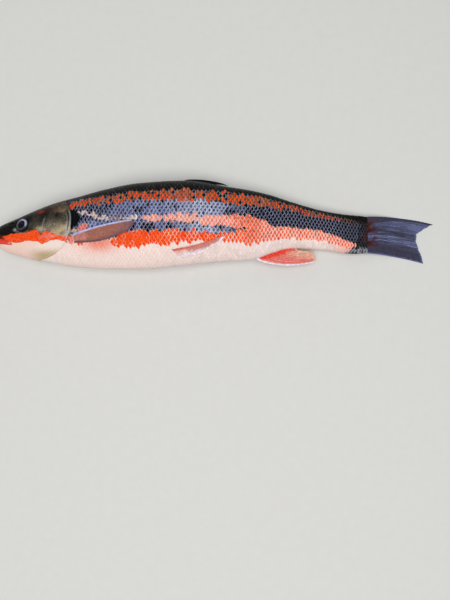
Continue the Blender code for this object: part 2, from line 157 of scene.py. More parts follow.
# Eyes: place on the flank, size, and how deep their middle lies under the skin
EYE_X, EYE_Y = 25.0, 6.5
EYE_RADIUS, EYE_HALF_DEPTH, EYE_SINK = 5.0, 3.1, 1.75
PUPIL = (-0.35, -0.25)  # its middle from the eye's, towards the tail and up
NOSTRILS = ((15.2, 7.2, 0.62), (17.4, 7.5, 0.8))  # x, y and radius
FAR = 9.0  # stands for a distance beyond every marking

# The bed in the underside for the right pectoral fin: a hollow round a line
BED_START, BED_RUN = np.array((62.0, -4.0)), np.array((37.0, -3.0))
BED_RADIUS, BED_RIM, BED_HEIGHT = 9.0, 3.0, 1.0

# Scales: the foremost tips, the bare skin behind the gill cover, how many scale lengths one
# reaches forward from its tip, and where each piece of the coat starts and ends
FIRST_TIP, BARE_SKIN, PLATE_REACH = 50.5, 1.9, 2.05
COAT_LENGTHS = ((48.0, 118.0, "shoulder"), (118.0, 190.0, "flank"), (190.0, 268.0, "tail"))


def body_line(column):
    """A line along the body. Measured by the root of the distance, the snout comes out round."""
    curve = curve_through(*((math.sqrt(row[0]), row[column]) for row in STATIONS))
    return lambda x: curve(np.sqrt(np.maximum(x, 0.0)))


back_line, belly_line, half_width, middle_height = (body_line(column) for column in (1, 2, 3, 4))
# how square a section is: 2 is an ellipse
fullness = curve_through((0, 2.0), (16, 2.25), (38, 2.35), (62, 2.2), (104, 2.1), (235, 2.2), (266, 2.5))
# head lines by distance from the snout, and the rear edge of the cheek by height
mouth_line = curve_through((0, -1.9), (8, -3.2), (15, -4.9), (22, -9.8), (29, -16.6))
mouth_crease = curve_through((0, -1.9), (8, -3.2), (15, -4.9), (17, -6.0), (24, -7.5), (34, -8), (60, -8.5))
cheek_top = curve_through((8, -1.4), (13, -0.5), (20, 0.4), (28, 0.9), (33, 2.1), (36.5, 2.2), (39.2, -1.0),
                          (41.8, 1.6), (48, -0.2), (53, -1.5), (60, -2.2))
cheek_low = curve_through((8, -2.6), (12, -3.2), (16, -4.9), (20, -5.8), (29, -5.0), (36, -5.0), (40, -7.0),
                          (44, -5.4), (50, -4.2), (56, -5.6), (61, -6.4))
cheek_edge = curve_through((-14, 31.0), (-9, 35.5), (-4, 38.8), (1, 39.5), (6, 40.2), (13, 42.2))
# edges of the flank's stripes, by share of the way from back to belly
orange_top = curve_through((62, 0.09), (79, 0.128), (106, 0.145), (138, 0.155), (160, 0.115), (184, 0.104),
                           (209, 0.112), (227, 0.1), (245, 0.12), (262, 0.2))
orange_low = curve_through((62, 0.2), (79, 0.225), (106, 0.252), (138, 0.277), (160, 0.266), (184, 0.25),
                           (209, 0.25), (227, 0.23), (245, 0.222), (262, 0.275))
slate_low = curve_through((62, 0.262), (69, 0.29), (80, 0.372), (93, 0.412), (113, 0.441), (143, 0.443),
                          (173, 0.397), (188, 0.44), (198, 0.555), (215, 0.575), (230, 0.575), (244, 0.655),
                          (253, 0.69), (262, 0.78))
middle_low = curve_through((62, 0.285), (69, 0.338), (76, 0.397), (87, 0.443), (107, 0.487), (119, 0.503),
                           (140, 0.529), (153, 0.558), (166, 0.565), (180, 0.6), (198, 0.6), (262, 0.78))
slate_2_low = curve_through((62, 0.49), (70, 0.504), (83, 0.544), (103, 0.588), (113, 0.605), (140, 0.628),
                            (164, 0.652), (180, 0.6), (198, 0.6), (262, 0.78))
orange_2_low = curve_through((80, 0.69), (93, 0.746), (103, 0.779), (113, 0.757), (146, 0.77), (160, 0.755),
                             (181, 0.8), (198, 0.8), (219, 0.818), (230, 0.8), (240, 0.86), (262, 0.86))
# painted sheen: how much lighter the slate band's scales are along the body, a painted reflection of the sky
# on them
slate_sheen = curve_through((62, 0.08), (76, 0.2), (92, 0.78), (112, 0.97), (130, 1.05), (150, 1.4),
                            (162, 0.95), (174, 0.4), (190, 0.3), (266, 0.3))
# scale rows
lateral_line = curve_through((50, 0.36), (70, 0.43), (95, 0.53), (125, 0.575), (160, 0.585), (200, 0.56),
                             (240, 0.5), (266, 0.5))
scale_length = curve_through((50, 2.3), (80, 2.6), (130, 2.75), (200, 2.65), (240, 2.45), (266, 2.2))
row_spacing = curve_through((50, 2.0), (90, 2.2), (160, 2.2), (210, 2.25), (240, 2.15), (266, 2.0))


# ---------------------------------------------------------------- body surface

def floor_level(x, y):
    """Height that the underside keeps from the floor: the bed over the right pectoral fin, else 0."""
    x, y = x - BED_START[0], y - BED_START[1]
    share = np.clip((x * BED_RUN[0] + y * BED_RUN[1]) / (BED_RUN @ BED_RUN), 0.0, 1.0)
    distance = np.hypot(x - BED_RUN[0] * share, y - BED_RUN[1] * share)
    return BED_HEIGHT * fall(distance, BED_RADIUS, BED_RIM)


def section(x, angle):
    """Points of the sections at x. Angle 0 is the back, a quarter turn the left side."""
    back, belly, power = back_line(x), belly_line(x), 2.0 / fullness(x)
    up, side = np.cos(angle), np.sin(angle)
    y = (back + belly) / 2.0 + np.sign(up) * np.abs(up) ** power * (back - belly) / 2.0
    z = middle_height(x) + np.sign(side) * np.abs(side) ** power * half_width(x)
    return np.stack((x, y, np.maximum(z, floor_level(x, y))), axis=-1)


def reach_up(x, y):
    """Height y at x from -1 on the belly line to 1 on the back line."""
    back, belly = back_line(x), belly_line(x)
    return np.clip((y - (back + belly) / 2.0) / np.maximum((back - belly) / 2.0, 1e-6), -1.0, 1.0)


def angle_at(x, y):
    """Angle from the back, from 0 to half a turn, at which the section at x has the height y."""
    reach = reach_up(x, y)
    return np.arccos(np.sign(reach) * np.abs(reach) ** (fullness(x) / 2.0))


def flank_height(x, y, side=1.0):
    """Height of the body's left (side 1) or right (side -1) surface over the point x, y."""
    swell = (1.0 - np.abs(reach_up(x, y)) ** fullness(x)) ** (1.0 / fullness(x))
    return np.maximum(middle_height(x) + side * half_width(x) * swell, 0.0)


def gill_edge(angle):
    """Distance from the snout to the rear rim of the head, by the angle from the back."""
    angle = np.abs(angle)
    top = mix(NAPE_X, GILL_REAR_X, np.sin(math.pi / 2 * np.minimum(angle / GILL_REAR_ANGLE, 1.0)) ** 2)
    share = np.clip((angle - GILL_REAR_ANGLE) / (math.pi - GILL_REAR_ANGLE), 0.0, 1.0)
    low = mix(THROAT_X, GILL_REAR_X, np.cos(math.pi / 2 * share) ** 1.6)
    return np.where(angle < GILL_REAR_ANGLE, top, low)


def eye_frame(side):
    """Centre of an eye on the skin, and the direction it looks."""
    spot, ahead, above = (np.array((x, y, float(flank_height(x, y, side)))) for x, y in
                          ((EYE_X, EYE_Y), (EYE_X + 1.0, EYE_Y), (EYE_X, EYE_Y + 1.0)))
    normal = np.cross(ahead - spot, above - spot) * side
    return spot, normal / np.linalg.norm(normal)


# ---------------------------------------------------------------- markings

# further values of the scales: how much the light rear rim shows, partly as painted glints, how warm
# or dull it is, black middles, nearness to the head, brightness of the whole scale with painted
# sheen on the slate, and how dark the painted shade on its front is
SCALE_VALUES = ("net", "warm", "dull", "jet", "front", "tone", "front_shade")
# in the order they lie over each other; the last one mixes into the vermilion
PIGMENTS = ("cream", "pink", "slate", "gold", "tan", "vermilion", "maroon", "soot", "scarlet", "pale",
            "salmon")


def markings(x, y, angle, grain=0.0):
    """How much of each pigment lies at a point of the body, by name, from 0 to 1.

    grain is a number from -0.5 to 0.5 for each point, which frays the edges of the stripes.
    """
    def spot(at_x, at_y, wide, high):
        return hump(x - at_x, wide) * hump(y - at_y, high)

    back, belly = back_line(x), belly_line(x)
    share = (back - y) / np.maximum(back - belly, 1e-6)
    frayed = share + 0.03 * (lumps(x, y, 9.0, 3) - 0.5) + 0.03 * grain
    soft = 0.018  # width of the edges of the stripes, as a share of the way down
    behind = x - gill_edge(angle)
    trunk = rise(behind, -0.6, 1.2)
    head = 1.0 - trunk
    stalk = rise(x - 0.6 * np.minimum(y + 4.0, 3.0) + 4.0 * grain, 253.5, 5.0)
    body = trunk * (1.0 - stalk)

    # stripes of the flank, from the back down
    upper = between(frayed, orange_top(x), orange_low(x), 0.03) * rise(x, 52.5, 10.0) * fall(x, 257.0, 5.0)
    slate = between(frayed, orange_low(x), slate_low(x), soft)
    middle = between(frayed, slate_low(x), middle_low(x), soft)
    slate_2 = between(frayed, middle_low(x), slate_2_low(x), soft) * fall(x, 168.0, 9.0)
    lower = (between(frayed, slate_2_low(x), orange_2_low(x), 0.04)
             * rise(x - 90.0 * (0.69 - share), 82.0, 9.0))
    below = rise(frayed - np.where(x < 88.0, slate_2_low(x), orange_2_low(x) - 0.025), -soft / 2.0, soft)
    reddening = rise(x, 98.0, 16.0)
    vermilion = most(upper, middle * reddening, lower) * body
    salmon = middle * (1.0 - 0.85 * rise(x, 152.0, 28.0)) + 0.14 * lower * rise(x, 150.0, 60.0)
    cream = most(middle * (1.0 - reddening), below) * body
    slates = most(slate, slate_2, 0.6 * middle * hump(x - 91.0, 12.0)) * body
    flush = hump(x - 79.0, 11.0) * hump(share - 0.71, 0.09)
    pink = 0.24 * head * fall(x, 24.0, 22.0) + below * (flush + 0.6 * hump(x - 250.0, 9.0)) * (1.0 - stalk)

    # head: the band along the cheek, the lips, the snout and the throat
    fray = 0.7 * (lumps(x, y, 1.6, 5) - 0.5) + 0.5 * (lumps(x, y, 3.4, 6) - 0.5)
    band = between(y + fray, cheek_low(x), cheek_top(x), 0.9) * rise(x, 7.0, 4.0) * head
    bare = head * (1.0 - band)
    mouth = mouth_line(x)
    lip_low = mouth - 2.9 * np.sqrt(np.clip(1.0 - (np.maximum(x - 9.0, 0.0) / 9.0) ** 2, 0.0, 1.0))
    lip = between(y, lip_low, mouth + 0.5, 0.6) * fall(x, 17.0, 1.0) * head
    snout = between(y + fray, mouth + 0.3, mouth + 3.6, 1.2) * fall(x, 9.0, 5.0)
    chin = np.where(x < 17.0, np.minimum(cheek_low(x), lip_low), cheek_low(x))
    throat = rise(chin - y - fray, -0.4, 0.8) * head
    # gill cover, bounded by the cheek in front and the nape above
    bone = cheek_edge(y)
    past_bone = x + 1.5 * (lumps(x, y, 2.4, 8) - 0.5) - bone
    cover = ease(past_bone) * bare * (1.0 - throat) * rise(np.abs(angle), 0.35, 0.3)
    inside = ease((past_bone + 1.5) / mix(5.0, 9.0, rise(y, 6.0, 6.0)))
    mottle = 0.6 * lumps(x, y, 1.9, 11) + 0.4 * lumps(x, y, 0.9, 12)
    under_eye = hump(np.hypot(x - EYE_X - 0.6, y - EYE_Y) - 6.0, 0.9) * fall(y, 1.0, 3.0)
    gold = most(inside * cover * (0.32 + 0.6 * fall(y, 3.5, 6.0)),  # most of it on the lower cover
                0.6 * spot(37.5, 3.2, 4.0, 3.6) * bare,  # behind the eye
                0.22 * spot(33.0, 8.0, 6.0, 6.0) * bare,
                0.5 * under_eye)
    root_patch = spot(62.3, 1.5, 2.3, 1.7) * trunk  # above the root of the pectoral fin
    low_rear = rise(0.45 * (x - 50.0) - y, -6.5, 7.0)
    tan = most(0.95 * inside * cover * low_rear * ease(1.5 * mottle - 0.15),
               0.6 * cover * spot(53.0, 16.0, 2.8, 1.8) * rise(mottle, 0.25, 0.3),  # its upper corner
               0.7 * spot(38.6, 2.9, 2.6, 1.7) * bare,  # behind the eye
               throat * (0.14 + 0.86 * rise(x, 24.0, 16.0) * fall(y, -14.5, 6.0)),
               0.5 * root_patch)
    # bare bone: two rims of the cover, the cheek's edge, and small patches; the spot on the cheek below
    # the eye is a painted glint on the wet skin
    rim, low_rim = -behind, fall(y, 3.0, 6.0)
    pale = most((0.4 + 0.4 * low_rim) * hump(rim - 0.9, 0.4) * between(y, -4.0, 15.5, 3.0) * head,
                (0.25 + 0.6 * low_rim) * hump(rim - 2.9, 0.5) * between(y, 0.0, 12.0, 4.0) * head,
                0.34 * hump(x - bone - 0.2, 0.5) * between(y, -0.5, 10.5, 4.0) * head,
                0.8 * hump(x - 57.0 - 0.5 * (y + 0.6), 1.1) * hump(y + 0.6, 1.7) * head,  # rear corner
                0.34 * hump(y + 2.2 - 0.09 * (x - 40.0), 0.45) * between(x, 39.0, 53.0, 6.0),
                # the second spot, on the cheek, is a painted glint of light on the wet mucus
                0.9 * spot(15.6, -5.8, 0.7, 0.55), 0.7 * spot(20.0, 3.0, 1.1, 0.9),  # mouth and cheek
                0.6 * stalk * fall(y, -9.0, 2.5) * rise(lumps(x, y, 2.4, 18), 0.35, 0.25))
    # black: a round patch behind the cover, the line inside its rim, then clouds over the head
    black_patch = between(behind, -0.4, 5.7 * (1.0 - ((y - 10.0) / 7.6) ** 2), 1.6)
    soot = most(black_patch * between(y + fray, 3.2, 17.0, 2.0),
                0.75 * hump(rim - 2.3, 0.6) * rise(y, 0.5, 2.0) * fall(y, 13.0, 3.0) * head,
                0.54 * cover * spot(50.3, 12.2, 8.0, 5.0),
                0.28 * cover * between(y, 7.0, 20.0, 4.0),
                0.34 * spot(30.0, 9.0, 9.0, 6.0) * bare,  # round the eye
                0.7 * hump(x - 24.0, 13.0) * rise(y, 5.0, 4.0) * bare)  # forehead
    # dark red: the snout, the root of the tail fin, the nape, and a line behind the gill cover
    nape_red = hump(x - 38.3, 2.0) * hump(y - 15.0 - 0.2 * (x - 38.0), 0.8)
    stalk_red = stalk * hump(y - 2.0, 6.0) * rise(lumps(x, y, 2.2, 17), 0.3, 0.4) * rise(x, 258.0, 5.0)
    nape_patches = between(x, 40.0, 56.0, 4.0) * rise(lumps(x, y, 3.0, 15), 0.25, 0.4)
    maroon = most(snout, 0.8 * stalk_red, 0.5 * hump(y - 16.5, 3.2) * nape_patches,
                  ease((spot(37.6, 14.9, 3.4, 1.6) + 0.4 * mottle - 0.3) / 0.5),
                  0.9 * hump(x - 62.0 + 0.6 * (y + 1.0), 3.2) * hump(y + 6.9 - 0.1 * x, 0.9))
    # red flesh where the pectoral fin joins the body, a streak of orange below, and pinker streaks along
    # the band that are painted highlights on the wet skin, most of them at its rear
    red_patch = most(hump(x - 68.0, 4.0) * hump(y - 3.6 - 0.35 * (x - 68.0), 2.5), spot(59.4, -4.6, 2.2, 3.0))
    red_patch = ease(red_patch * 1.8 - 0.3) * trunk
    streak = ease(1.6 * spot(66.2, -6.9, 2.9, 1.4) - 0.3)
    # painted highlights: pinker streaks along the cheek band
    highlight_streaks = rise(lumps(x + 0.6 * y, y * 2.4, 1.9, 19), 0.5, 0.3)
    salmon = salmon + band * (mix(0.08, 0.4, rise(x, 34.0, 8.0)) * highlight_streaks + 0.03 * rise(x, 38.0, 6.0))
    sooty = soot * trunk
    amounts = {
        "cream": most(most(cream, throat) * (1.0 - sooty), red_patch, root_patch),
        "pink": most(pink * (trunk + throat), 0.95 * red_patch),
        "slate": slates * (1.0 - np.clip(sooty + red_patch + streak + root_patch, 0.0, 1.0)),
        "gold": gold, "tan": tan,
        "vermilion": most(vermilion * (1.0 - red_patch), band, streak) * (1.0 - 0.9 * sooty),
        "maroon": maroon, "soot": soot,
        "scarlet": most(lip, most(0.3 * nape_red, 0.6 * red_patch) + 0.28 * flush * trunk),
        "pale": pale, "salmon": salmon}
    paint = {name: np.clip(amount, 0.0, 1.0) for name, amount in amounts.items()}
    paint.update(front=fall(x, 180.0, 38.0), share=share, stalk=stalk)
    return paint


# ---------------------------------------------------------------- mesh helpers

OFFSET = (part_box("head")[0].x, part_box("trunk_front")[0].y - BELLY_LOWEST * MM, 0.0)


def placed(points):
    """Millimetres in the fish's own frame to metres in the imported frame, never below the floor."""
    points = np.asarray(points, float).reshape(-1, 3) * MM + np.array(OFFSET)
    points[:, 2] = np.maximum(points[:, 2], 0.0)
    return points


def new_piece(name, points, faces, corner_maps, values, material, sharp=None):
    """A mesh object from arrays of faces, with an unwrap for each corner and values for each point."""
    mesh = bpy.data.meshes.new(name)
    corners = np.concatenate([part.ravel() for part in faces]).astype(np.int32)
    sizes = np.concatenate([np.full(len(part), part.shape[1]) for part in faces]).astype(np.int32)
    mesh.vertices.add(len(points))
    mesh.vertices.foreach_set("co", points.astype(np.float32).ravel())
    mesh.loops.add(len(corners))
    mesh.loops.foreach_set("vertex_index", corners)
    mesh.polygons.add(len(sizes))
    mesh.polygons.foreach_set("loop_start", np.concatenate(([0], np.cumsum(sizes)[:-1])).astype(np.int32))
    mesh.update(calc_edges=True)
    spots = np.concatenate([part.reshape(-1, 2) for part in corner_maps]).astype(np.float32)
    mesh.uv_layers.new(name="OFBake").uv.foreach_set("vector", spots.ravel())
    for key, array in values.items():
        layer = mesh.attributes.new(key, "FLOAT", "POINT")
        layer.data.foreach_set("value", np.asarray(array, np.float32).ravel())
    mesh.shade_smooth()
    if sharp is not None:
        mesh.set_sharp_from_angle(angle=math.radians(sharp))
    mesh.materials.append(material)
    obj = bpy.data.objects.new(name, mesh)
    bpy.context.scene.collection.objects.link(obj)
    return obj


def rows(*columns):
    """Faces from the point numbers of their first, second and further corners."""
    return np.stack(np.broadcast_arrays(*columns), axis=1)


def corner_rows(*columns):
    """The unwrap of faces from the (u, v) places of their first, second and further corners."""
    return np.stack([rows(u, v) for u, v in columns], axis=1)


def tube(columns, ring, edge):
    """Faces of a tube of rings and their unwrap, which leaves a strip of width edge at both ends."""
    grid = np.meshgrid(np.arange(columns - 1), np.arange(ring), indexing="ij")
    column, place = (part.ravel() for part in grid)
    start, after = column * ring, (place + 1) % ring
    quads = rows(start + place, start + after, start + ring + after, start + ring + place)
    left, right = (edge + (column + step) / (columns - 1) * (1.0 - 2 * edge) for step in (0, 1))
    low, high = place / ring, (place + 1) / ring
    return quads, corner_rows((left, low), (left, high), (right, high), (right, low))


def fans(columns, ring, edge):
    """Triangles from two tips, the last points, to both ends of a tube, and their unwrap."""
    place, tip = np.arange(ring), columns * ring
    after, end = (place + 1) % ring, (columns - 1) * ring
    low, high = place / ring, (place + 1) / ring
    middle = (low + high) / 2
    return (np.concatenate((rows(tip, after, place), rows(tip + 1, end + place, end + after))),
            np.concatenate((corner_rows((0.0, middle), (edge, high), (edge, low)),
                            corner_rows((1.0, middle), (1 - edge, low), (1 - edge, high)))))


def walked(points):
    """Distance from the first point of each row, along the row."""
    return np.cumsum(np.linalg.norm(np.diff(points, axis=1, prepend=points[:, :1]), axis=-1), axis=1)


def unit(vectors):
    return vectors / np.maximum(np.linalg.norm(vectors, axis=-1, keepdims=True), 1e-12)


def ride_body(obj, slot, *nodes):
    """The piece moves with the whole fish and stands for CAD nodes. The slot is not used."""
    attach(obj, "root")
    if nodes:
        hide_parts(*nodes)


# ---------------------------------------------------------------- materials

COLOUR_UNDER, COLOUR_OVER, COLOUR_OUT = 6, 7, 2  # sockets of a Mix node set to colours
# A MapRange node's inputs in order are its value, the value's range and the range that it is
# given. A Math node's MULTIPLY_ADD takes the first times the second, plus the third.


def linear(code):
    """An sRGB hex colour as linear red, green and blue."""
    parts = [int(code[place:place + 2], 16) / 255.0 for place in (1, 3, 5)]
    return tuple(part / 12.92 if part <= 0.04045 else ((part + 0.055) / 1.055) ** 2.4 for part in parts)


def fill(tree, node, inputs):
    """Links sockets to a node's inputs, by number or by name, and sets other values on them."""
    for key, value in inputs.items():
        socket = node.inputs[key.replace("_", " ") if isinstance(key, str) else key]
        if isinstance(value, bpy.types.NodeSocket):
            tree.links.new(value, socket)
        else:
            socket.default_value = (*value, 1.0) if socket.type == "RGBA" else value


def add_node(tree, kind, *values, out=0, at=None, **named):
    """Adds a node and gives one of its outputs.

    The values fill its inputs in order, and at gives further ones by number. A name with a
    capital letter is an input's, and any other is a setting's.
    """
    node = tree.nodes.new("ShaderNode" + kind)
    for key in [key for key in named if key.islower()]:
        setattr(node, key, named.pop(key))
    fill(tree, node, {**dict(enumerate(values)), **(at or {}), **named})
    return node.outputs[out]


def layered(tree, colour, *layers):
    """Lays (amount, colour) layers over a colour, one after the other."""
    for amount, shade in layers:
        colour = add_node(tree, "Mix", amount, at={COLOUR_UNDER: colour, COLOUR_OVER: shade}, out=COLOUR_OUT,
                          data_type="RGBA")
    return colour


def new_tree(name):
    """A new material's node tree, and where a point lies on the object."""
    material = bpy.data.materials.new(name)
    material.use_nodes = True
    return material, material.node_tree, add_node(material.node_tree, "TexCoord", out="Object")


def finished(material, **surface):
    """The material, once its shader has these inputs."""
    fill(material.node_tree, material.node_tree.nodes["Principled BSDF"], surface)
    return material


def pigment_layers(tree, colours, place):
    """The body's pigments over each other, as one colour, in the order they lie in the skin."""
    grain, fleck, fine, specks = (
        add_node(tree, "TexNoise", Vector=place, Scale=1.0 / (size * MM), Detail=detail, Roughness=rough,
                 Distortion=bent)
        for size, detail, rough, bent in ((1.2, 5.0, 0.62, 0.0), (2.1, 6.0, 0.7, 0.6), (0.4, 3.0, 0.5, 0.0),
                                          (1.0, 4.0, 0.65, 0.0)))
    amount = {name: add_node(tree, "Attribute", attribute_name=name, out="Fac") for name in PIGMENTS}
    # colour cells end raggedly, in clumps about a millimetre across
    for name, clump in (("cream", fleck), ("slate", fleck), ("vermilion", fleck), ("soot", specks)):
        ragged = add_node(tree, "Math", clump, 1.3, amount[name], operation="MULTIPLY_ADD")
        amount[name] = add_node(tree, "MapRange", ragged, 1.03, 1.27, interpolation_type="SMOOTHSTEP")
    spread = add_node(tree, "MapRange", grain, 0.38, 0.64)
    patches = add_node(tree, "MapRange", specks, 0.38, 0.6)
    mixed = {"vermilion": layered(tree, colours.vermilion_deep, (spread, colours.vermilion_light),
                                  (amount["salmon"], colours.salmon)),
             "gold": layered(tree, colours.gold_dark, (patches, colours.gold))}
    colour = layered(tree, colours.back_dark, (spread, colours.back_light), *(
        (amount[name], mixed.get(name) or getattr(colours, name)) for name in PIGMENTS[:-1]))
    # every pigment is a little uneven, as colour cells are
    speckle = add_node(tree, "MapRange", fine, 0.3, 0.7, 0.88, 1.1)
    return add_node(tree, "VectorMath", colour, Scale=speckle, operation="SCALE")


def wet_skin_material(colours):
    """Scaleless skin of the head under a film of mucus: soft pigment below a sharp clear gloss."""
    material, tree, place = new_tree("mucus_wet_skin")
    # fine creases and pores about 0.5 mm apart, with broader dimples under them
    pores = add_node(tree, "TexVoronoi", Vector=place, Scale=1.0 / (0.55 * MM))
    dimples = add_node(tree, "TexNoise", Vector=place, Scale=1.0 / (1.8 * MM), Detail=3.0)
    height = add_node(tree, "Math", pores, 0.3, dimples, operation="MULTIPLY_ADD")
    return finished(material, Base_Color=pigment_layers(tree, colours, place),
                    Roughness=add_node(tree, "MapRange", dimples, 0.35, 0.65, 0.26, 0.5),
                    Normal=add_node(tree, "Bump", Height=height, Strength=0.3, Distance=0.1 * MM),
                    IOR=1.36, Specular_IOR_Level=0.2, Coat_Weight=0.12, Coat_Roughness=0.12, Coat_IOR=1.33)


def scale_material(colours):
    """Cycloid scales: thin clear horn over pigment, wet, with a light rear rim and ring growth lines."""
    material, tree, place = new_tree("wet_cycloid_scale")
    rim, net, warm, jet, across, far, dull, tone, front_shade = (
        add_node(tree, "Attribute", attribute_name=name, out="Fac")
        for name in ("rim", "net", "warm", "jet", "across", "front", "dull", "tone", "front_shade"))
    colour = add_node(tree, "VectorMath", pigment_layers(tree, colours, place), Scale=tone, operation="SCALE")
    # painted shade: the front of the open part is darkened towards jet, as if in the shade of the
    # scales before it, and more on one side of the scale than the other, as light falling from one side would
    # leave it
    slanted = add_node(tree, "Math", across, -0.3, rim, operation="MULTIPLY_ADD")
    shade = add_node(tree, "MapRange", slanted, 0.75, 1.35, interpolation_type="SMOOTHSTEP")
    shade = add_node(tree, "Math", shade, front_shade, operation="MULTIPLY")
    # the light rear rim is about 0.6 mm wide, partly the scales' own pale edge and partly painted glints of
    # light
    ragged = add_node(tree, "TexNoise", Vector=place, Scale=1.0 / (0.5 * MM))
    reach = add_node(tree, "Math", ragged, 0.7, rim, operation="MULTIPLY_ADD")
    light = add_node(tree, "MapRange", reach, 0.6, 1.0, 1.0, 0.0, interpolation_type="SMOOTHSTEP")
    light = add_node(tree, "Math", light, net, operation="MULTIPLY")
    edge = layered(tree, colours.net_grey, (far, colours.net_lavender), (dull, colours.net_olive),
                   (warm, colours.net_cream))
    # growth rings 0.16 mm apart follow the rim, and radii cross them
    waves = []
    for way, turns in ((rim, math.tau / 0.16), (across, math.tau * 4.5)):
        turned = add_node(tree, "Math", way, turns, operation="MULTIPLY")
        waves.append(add_node(tree, "Math", turned, operation="SINE"))
    height = add_node(tree, "Math", *waves, operation="ADD")
    # the dark back has matter scales, so it stays black under the lamps
    gloss = add_node(tree, "MapRange", dull, 0.0, 1.0, 0.42, 0.02)
    colour = layered(tree, colour, (shade, colours.jet), (jet, colours.jet), (light, edge))
    return finished(material, Base_Color=colour, Coat_Weight=gloss,
                    Roughness=add_node(tree, "MapRange", ragged, 0.35, 0.65, 0.22, 0.42),
                    Normal=add_node(tree, "Bump", Height=height, Strength=0.3, Distance=0.012 * MM),
                    IOR=1.36, Specular_IOR_Level=0.16, Coat_Roughness=0.14, Coat_IOR=1.33)


def fin_material(name, membrane, ray, lead, edge, base):
    """A fin: thin wet membrane between bony rays, each stretch of it stained by the blood under it."""
    material, tree, place = new_tree(name)
    ridge, front, outer, root, along = (add_node(tree, "Attribute", attribute_name=key, out="Fac")
                                        for key in ("streak", "lead", "edge", "root", "along"))
    colour = layered(tree, membrane, (ridge, ray), (root, base), (outer, edge), (front, lead))
    # blood and slime make it uneven every 1.5 mm or so
    stain = add_node(tree, "TexNoise", Vector=place, Scale=1.0 / (1.5 * MM), Detail=5.0)
    tone = add_node(tree, "MapRange", stain, 0.3, 0.7, 0.75, 1.2)
    # the rays are jointed about every 0.8 mm
    joints = add_node(tree, "Math", along, math.tau / 0.8, operation="MULTIPLY")
    joints = add_node(tree, "Math", joints, operation="SINE")
    joints = add_node(tree, "Math", joints, ridge, operation="MULTIPLY")
    return finished(material, Base_Color=add_node(tree, "VectorMath", colour, Scale=tone, operation="SCALE"),
                    Normal=add_node(tree, "Bump", Height=joints, Strength=0.4, Distance=0.03 * MM),
                    Roughness=0.4, IOR=1.4, Coat_Weight=0.25, Coat_Roughness=0.15, Coat_IOR=1.35)


def eye_material(colours):
    """A fish eye: a silvery iris round a black-blue lens, under a clear cornea with a mirror gloss."""
    material, tree, place = new_tree("cornea_over_iris")
    from_pupil, from_middle, height = (add_node(tree, "Attribute", attribute_name=key, out="Fac")
                                       for key in ("from_pupil", "from_middle", "height"))
    fibres = add_node(tree, "TexNoise", Vector=place, Scale=1.0 / (0.6 * MM), Detail=5.0)
    mottled = add_node(tree, "MapRange", fibres, 0.4, 0.62)
    # the iris is painted lighter towards the top, a painted reflection of the light above, and darker towards
    # the bottom, painted shade; the silver is partly the iris's own
    upper = add_node(tree, "MapRange", height, -0.2, 2.6, interpolation_type="SMOOTHSTEP")
    silver = layered(tree, colours.iris_shadow, (mottled, colours.iris_silver))
    # millimetres from the middle of the pupil, and from the middle of the eye
    bands = [(add_node(tree, "MapRange", value, start, end), shade) for value, start, end, shade in (
        (from_pupil, 3.3, 3.15, colours.iris_ring), (from_pupil, 3.08, 2.94, colours.pupil),
        (from_middle, 3.85, 4.2, colours.iris_dark))]
    colour = layered(tree, colours.iris_dark, (mottled, colours.iris_brown), (upper, silver), *bands)
    return finished(material, Base_Color=colour, Roughness=0.3, IOR=1.4, Specular_IOR_Level=0.2,
                    Coat_Weight=0.7, Coat_Roughness=0.03, Coat_IOR=1.4)


# ---------------------------------------------------------------- skin

def skin_half(side, sizes):
    """One side of the skin: a grid of points, their angles, and how far below the mouth slit they lie.

    One row of the grid follows the slit, and the last column of the head follows the gill cover.
    """
    head_columns, skin_rows = sizes.head_columns, sizes.skin_rows
    crease_row = round(skin_rows * 0.6)  # most rows lie above the slit, as most of the head does
    head_share = ((np.arange(head_columns) + 1.0) / head_columns) ** 1.25
    # the angle of the slit depends on x, and x on the angle, so they settle by turns
    crease = np.full(head_columns, 2.0)
    for _ in range(40):
        x = head_share * gill_edge(crease)
        crease = 0.5 * crease + 0.5 * angle_at(x, mouth_crease(x))
    # close rings in the cleft behind the gill cover, then even ones to the end of the body
    cleft = (0.15, 0.3, 0.5, 0.75, 1.0, 1.4, 1.9)
    behind = np.concatenate((cleft, np.linspace(2.6, 0.0, sizes.trunk_columns)))
    trunk_share = np.concatenate((np.zeros(len(cleft)), np.linspace(0.0, 1.0, sizes.trunk_columns)))
    crease = np.concatenate((crease, np.full(len(behind), crease[-1])))[:, None]
    row = np.arange(skin_rows + 1)
    lower = np.clip((row - crease_row) / (skin_rows - crease_row), 0.0, 1.0)
    angle = np.where(row <= crease_row, crease * row / crease_row, mix(crease, math.pi, lower))
    rim = gill_edge(angle)
    x = np.concatenate((head_share[:, None] * rim[:head_columns],
                        mix(rim[head_columns:] + behind[:, None], BODY_END, trunk_share[:, None])))
    points = section(x, angle * side)
    from_back = walked(points)
    return points, angle, from_back - from_back[:, crease_row:crease_row + 1]


def joined_ring(left, right):
    """Rows of the left half from back to belly, then of the right half from belly to back."""
    return np.concatenate((left, right[:, -2:0:-1]), axis=1)


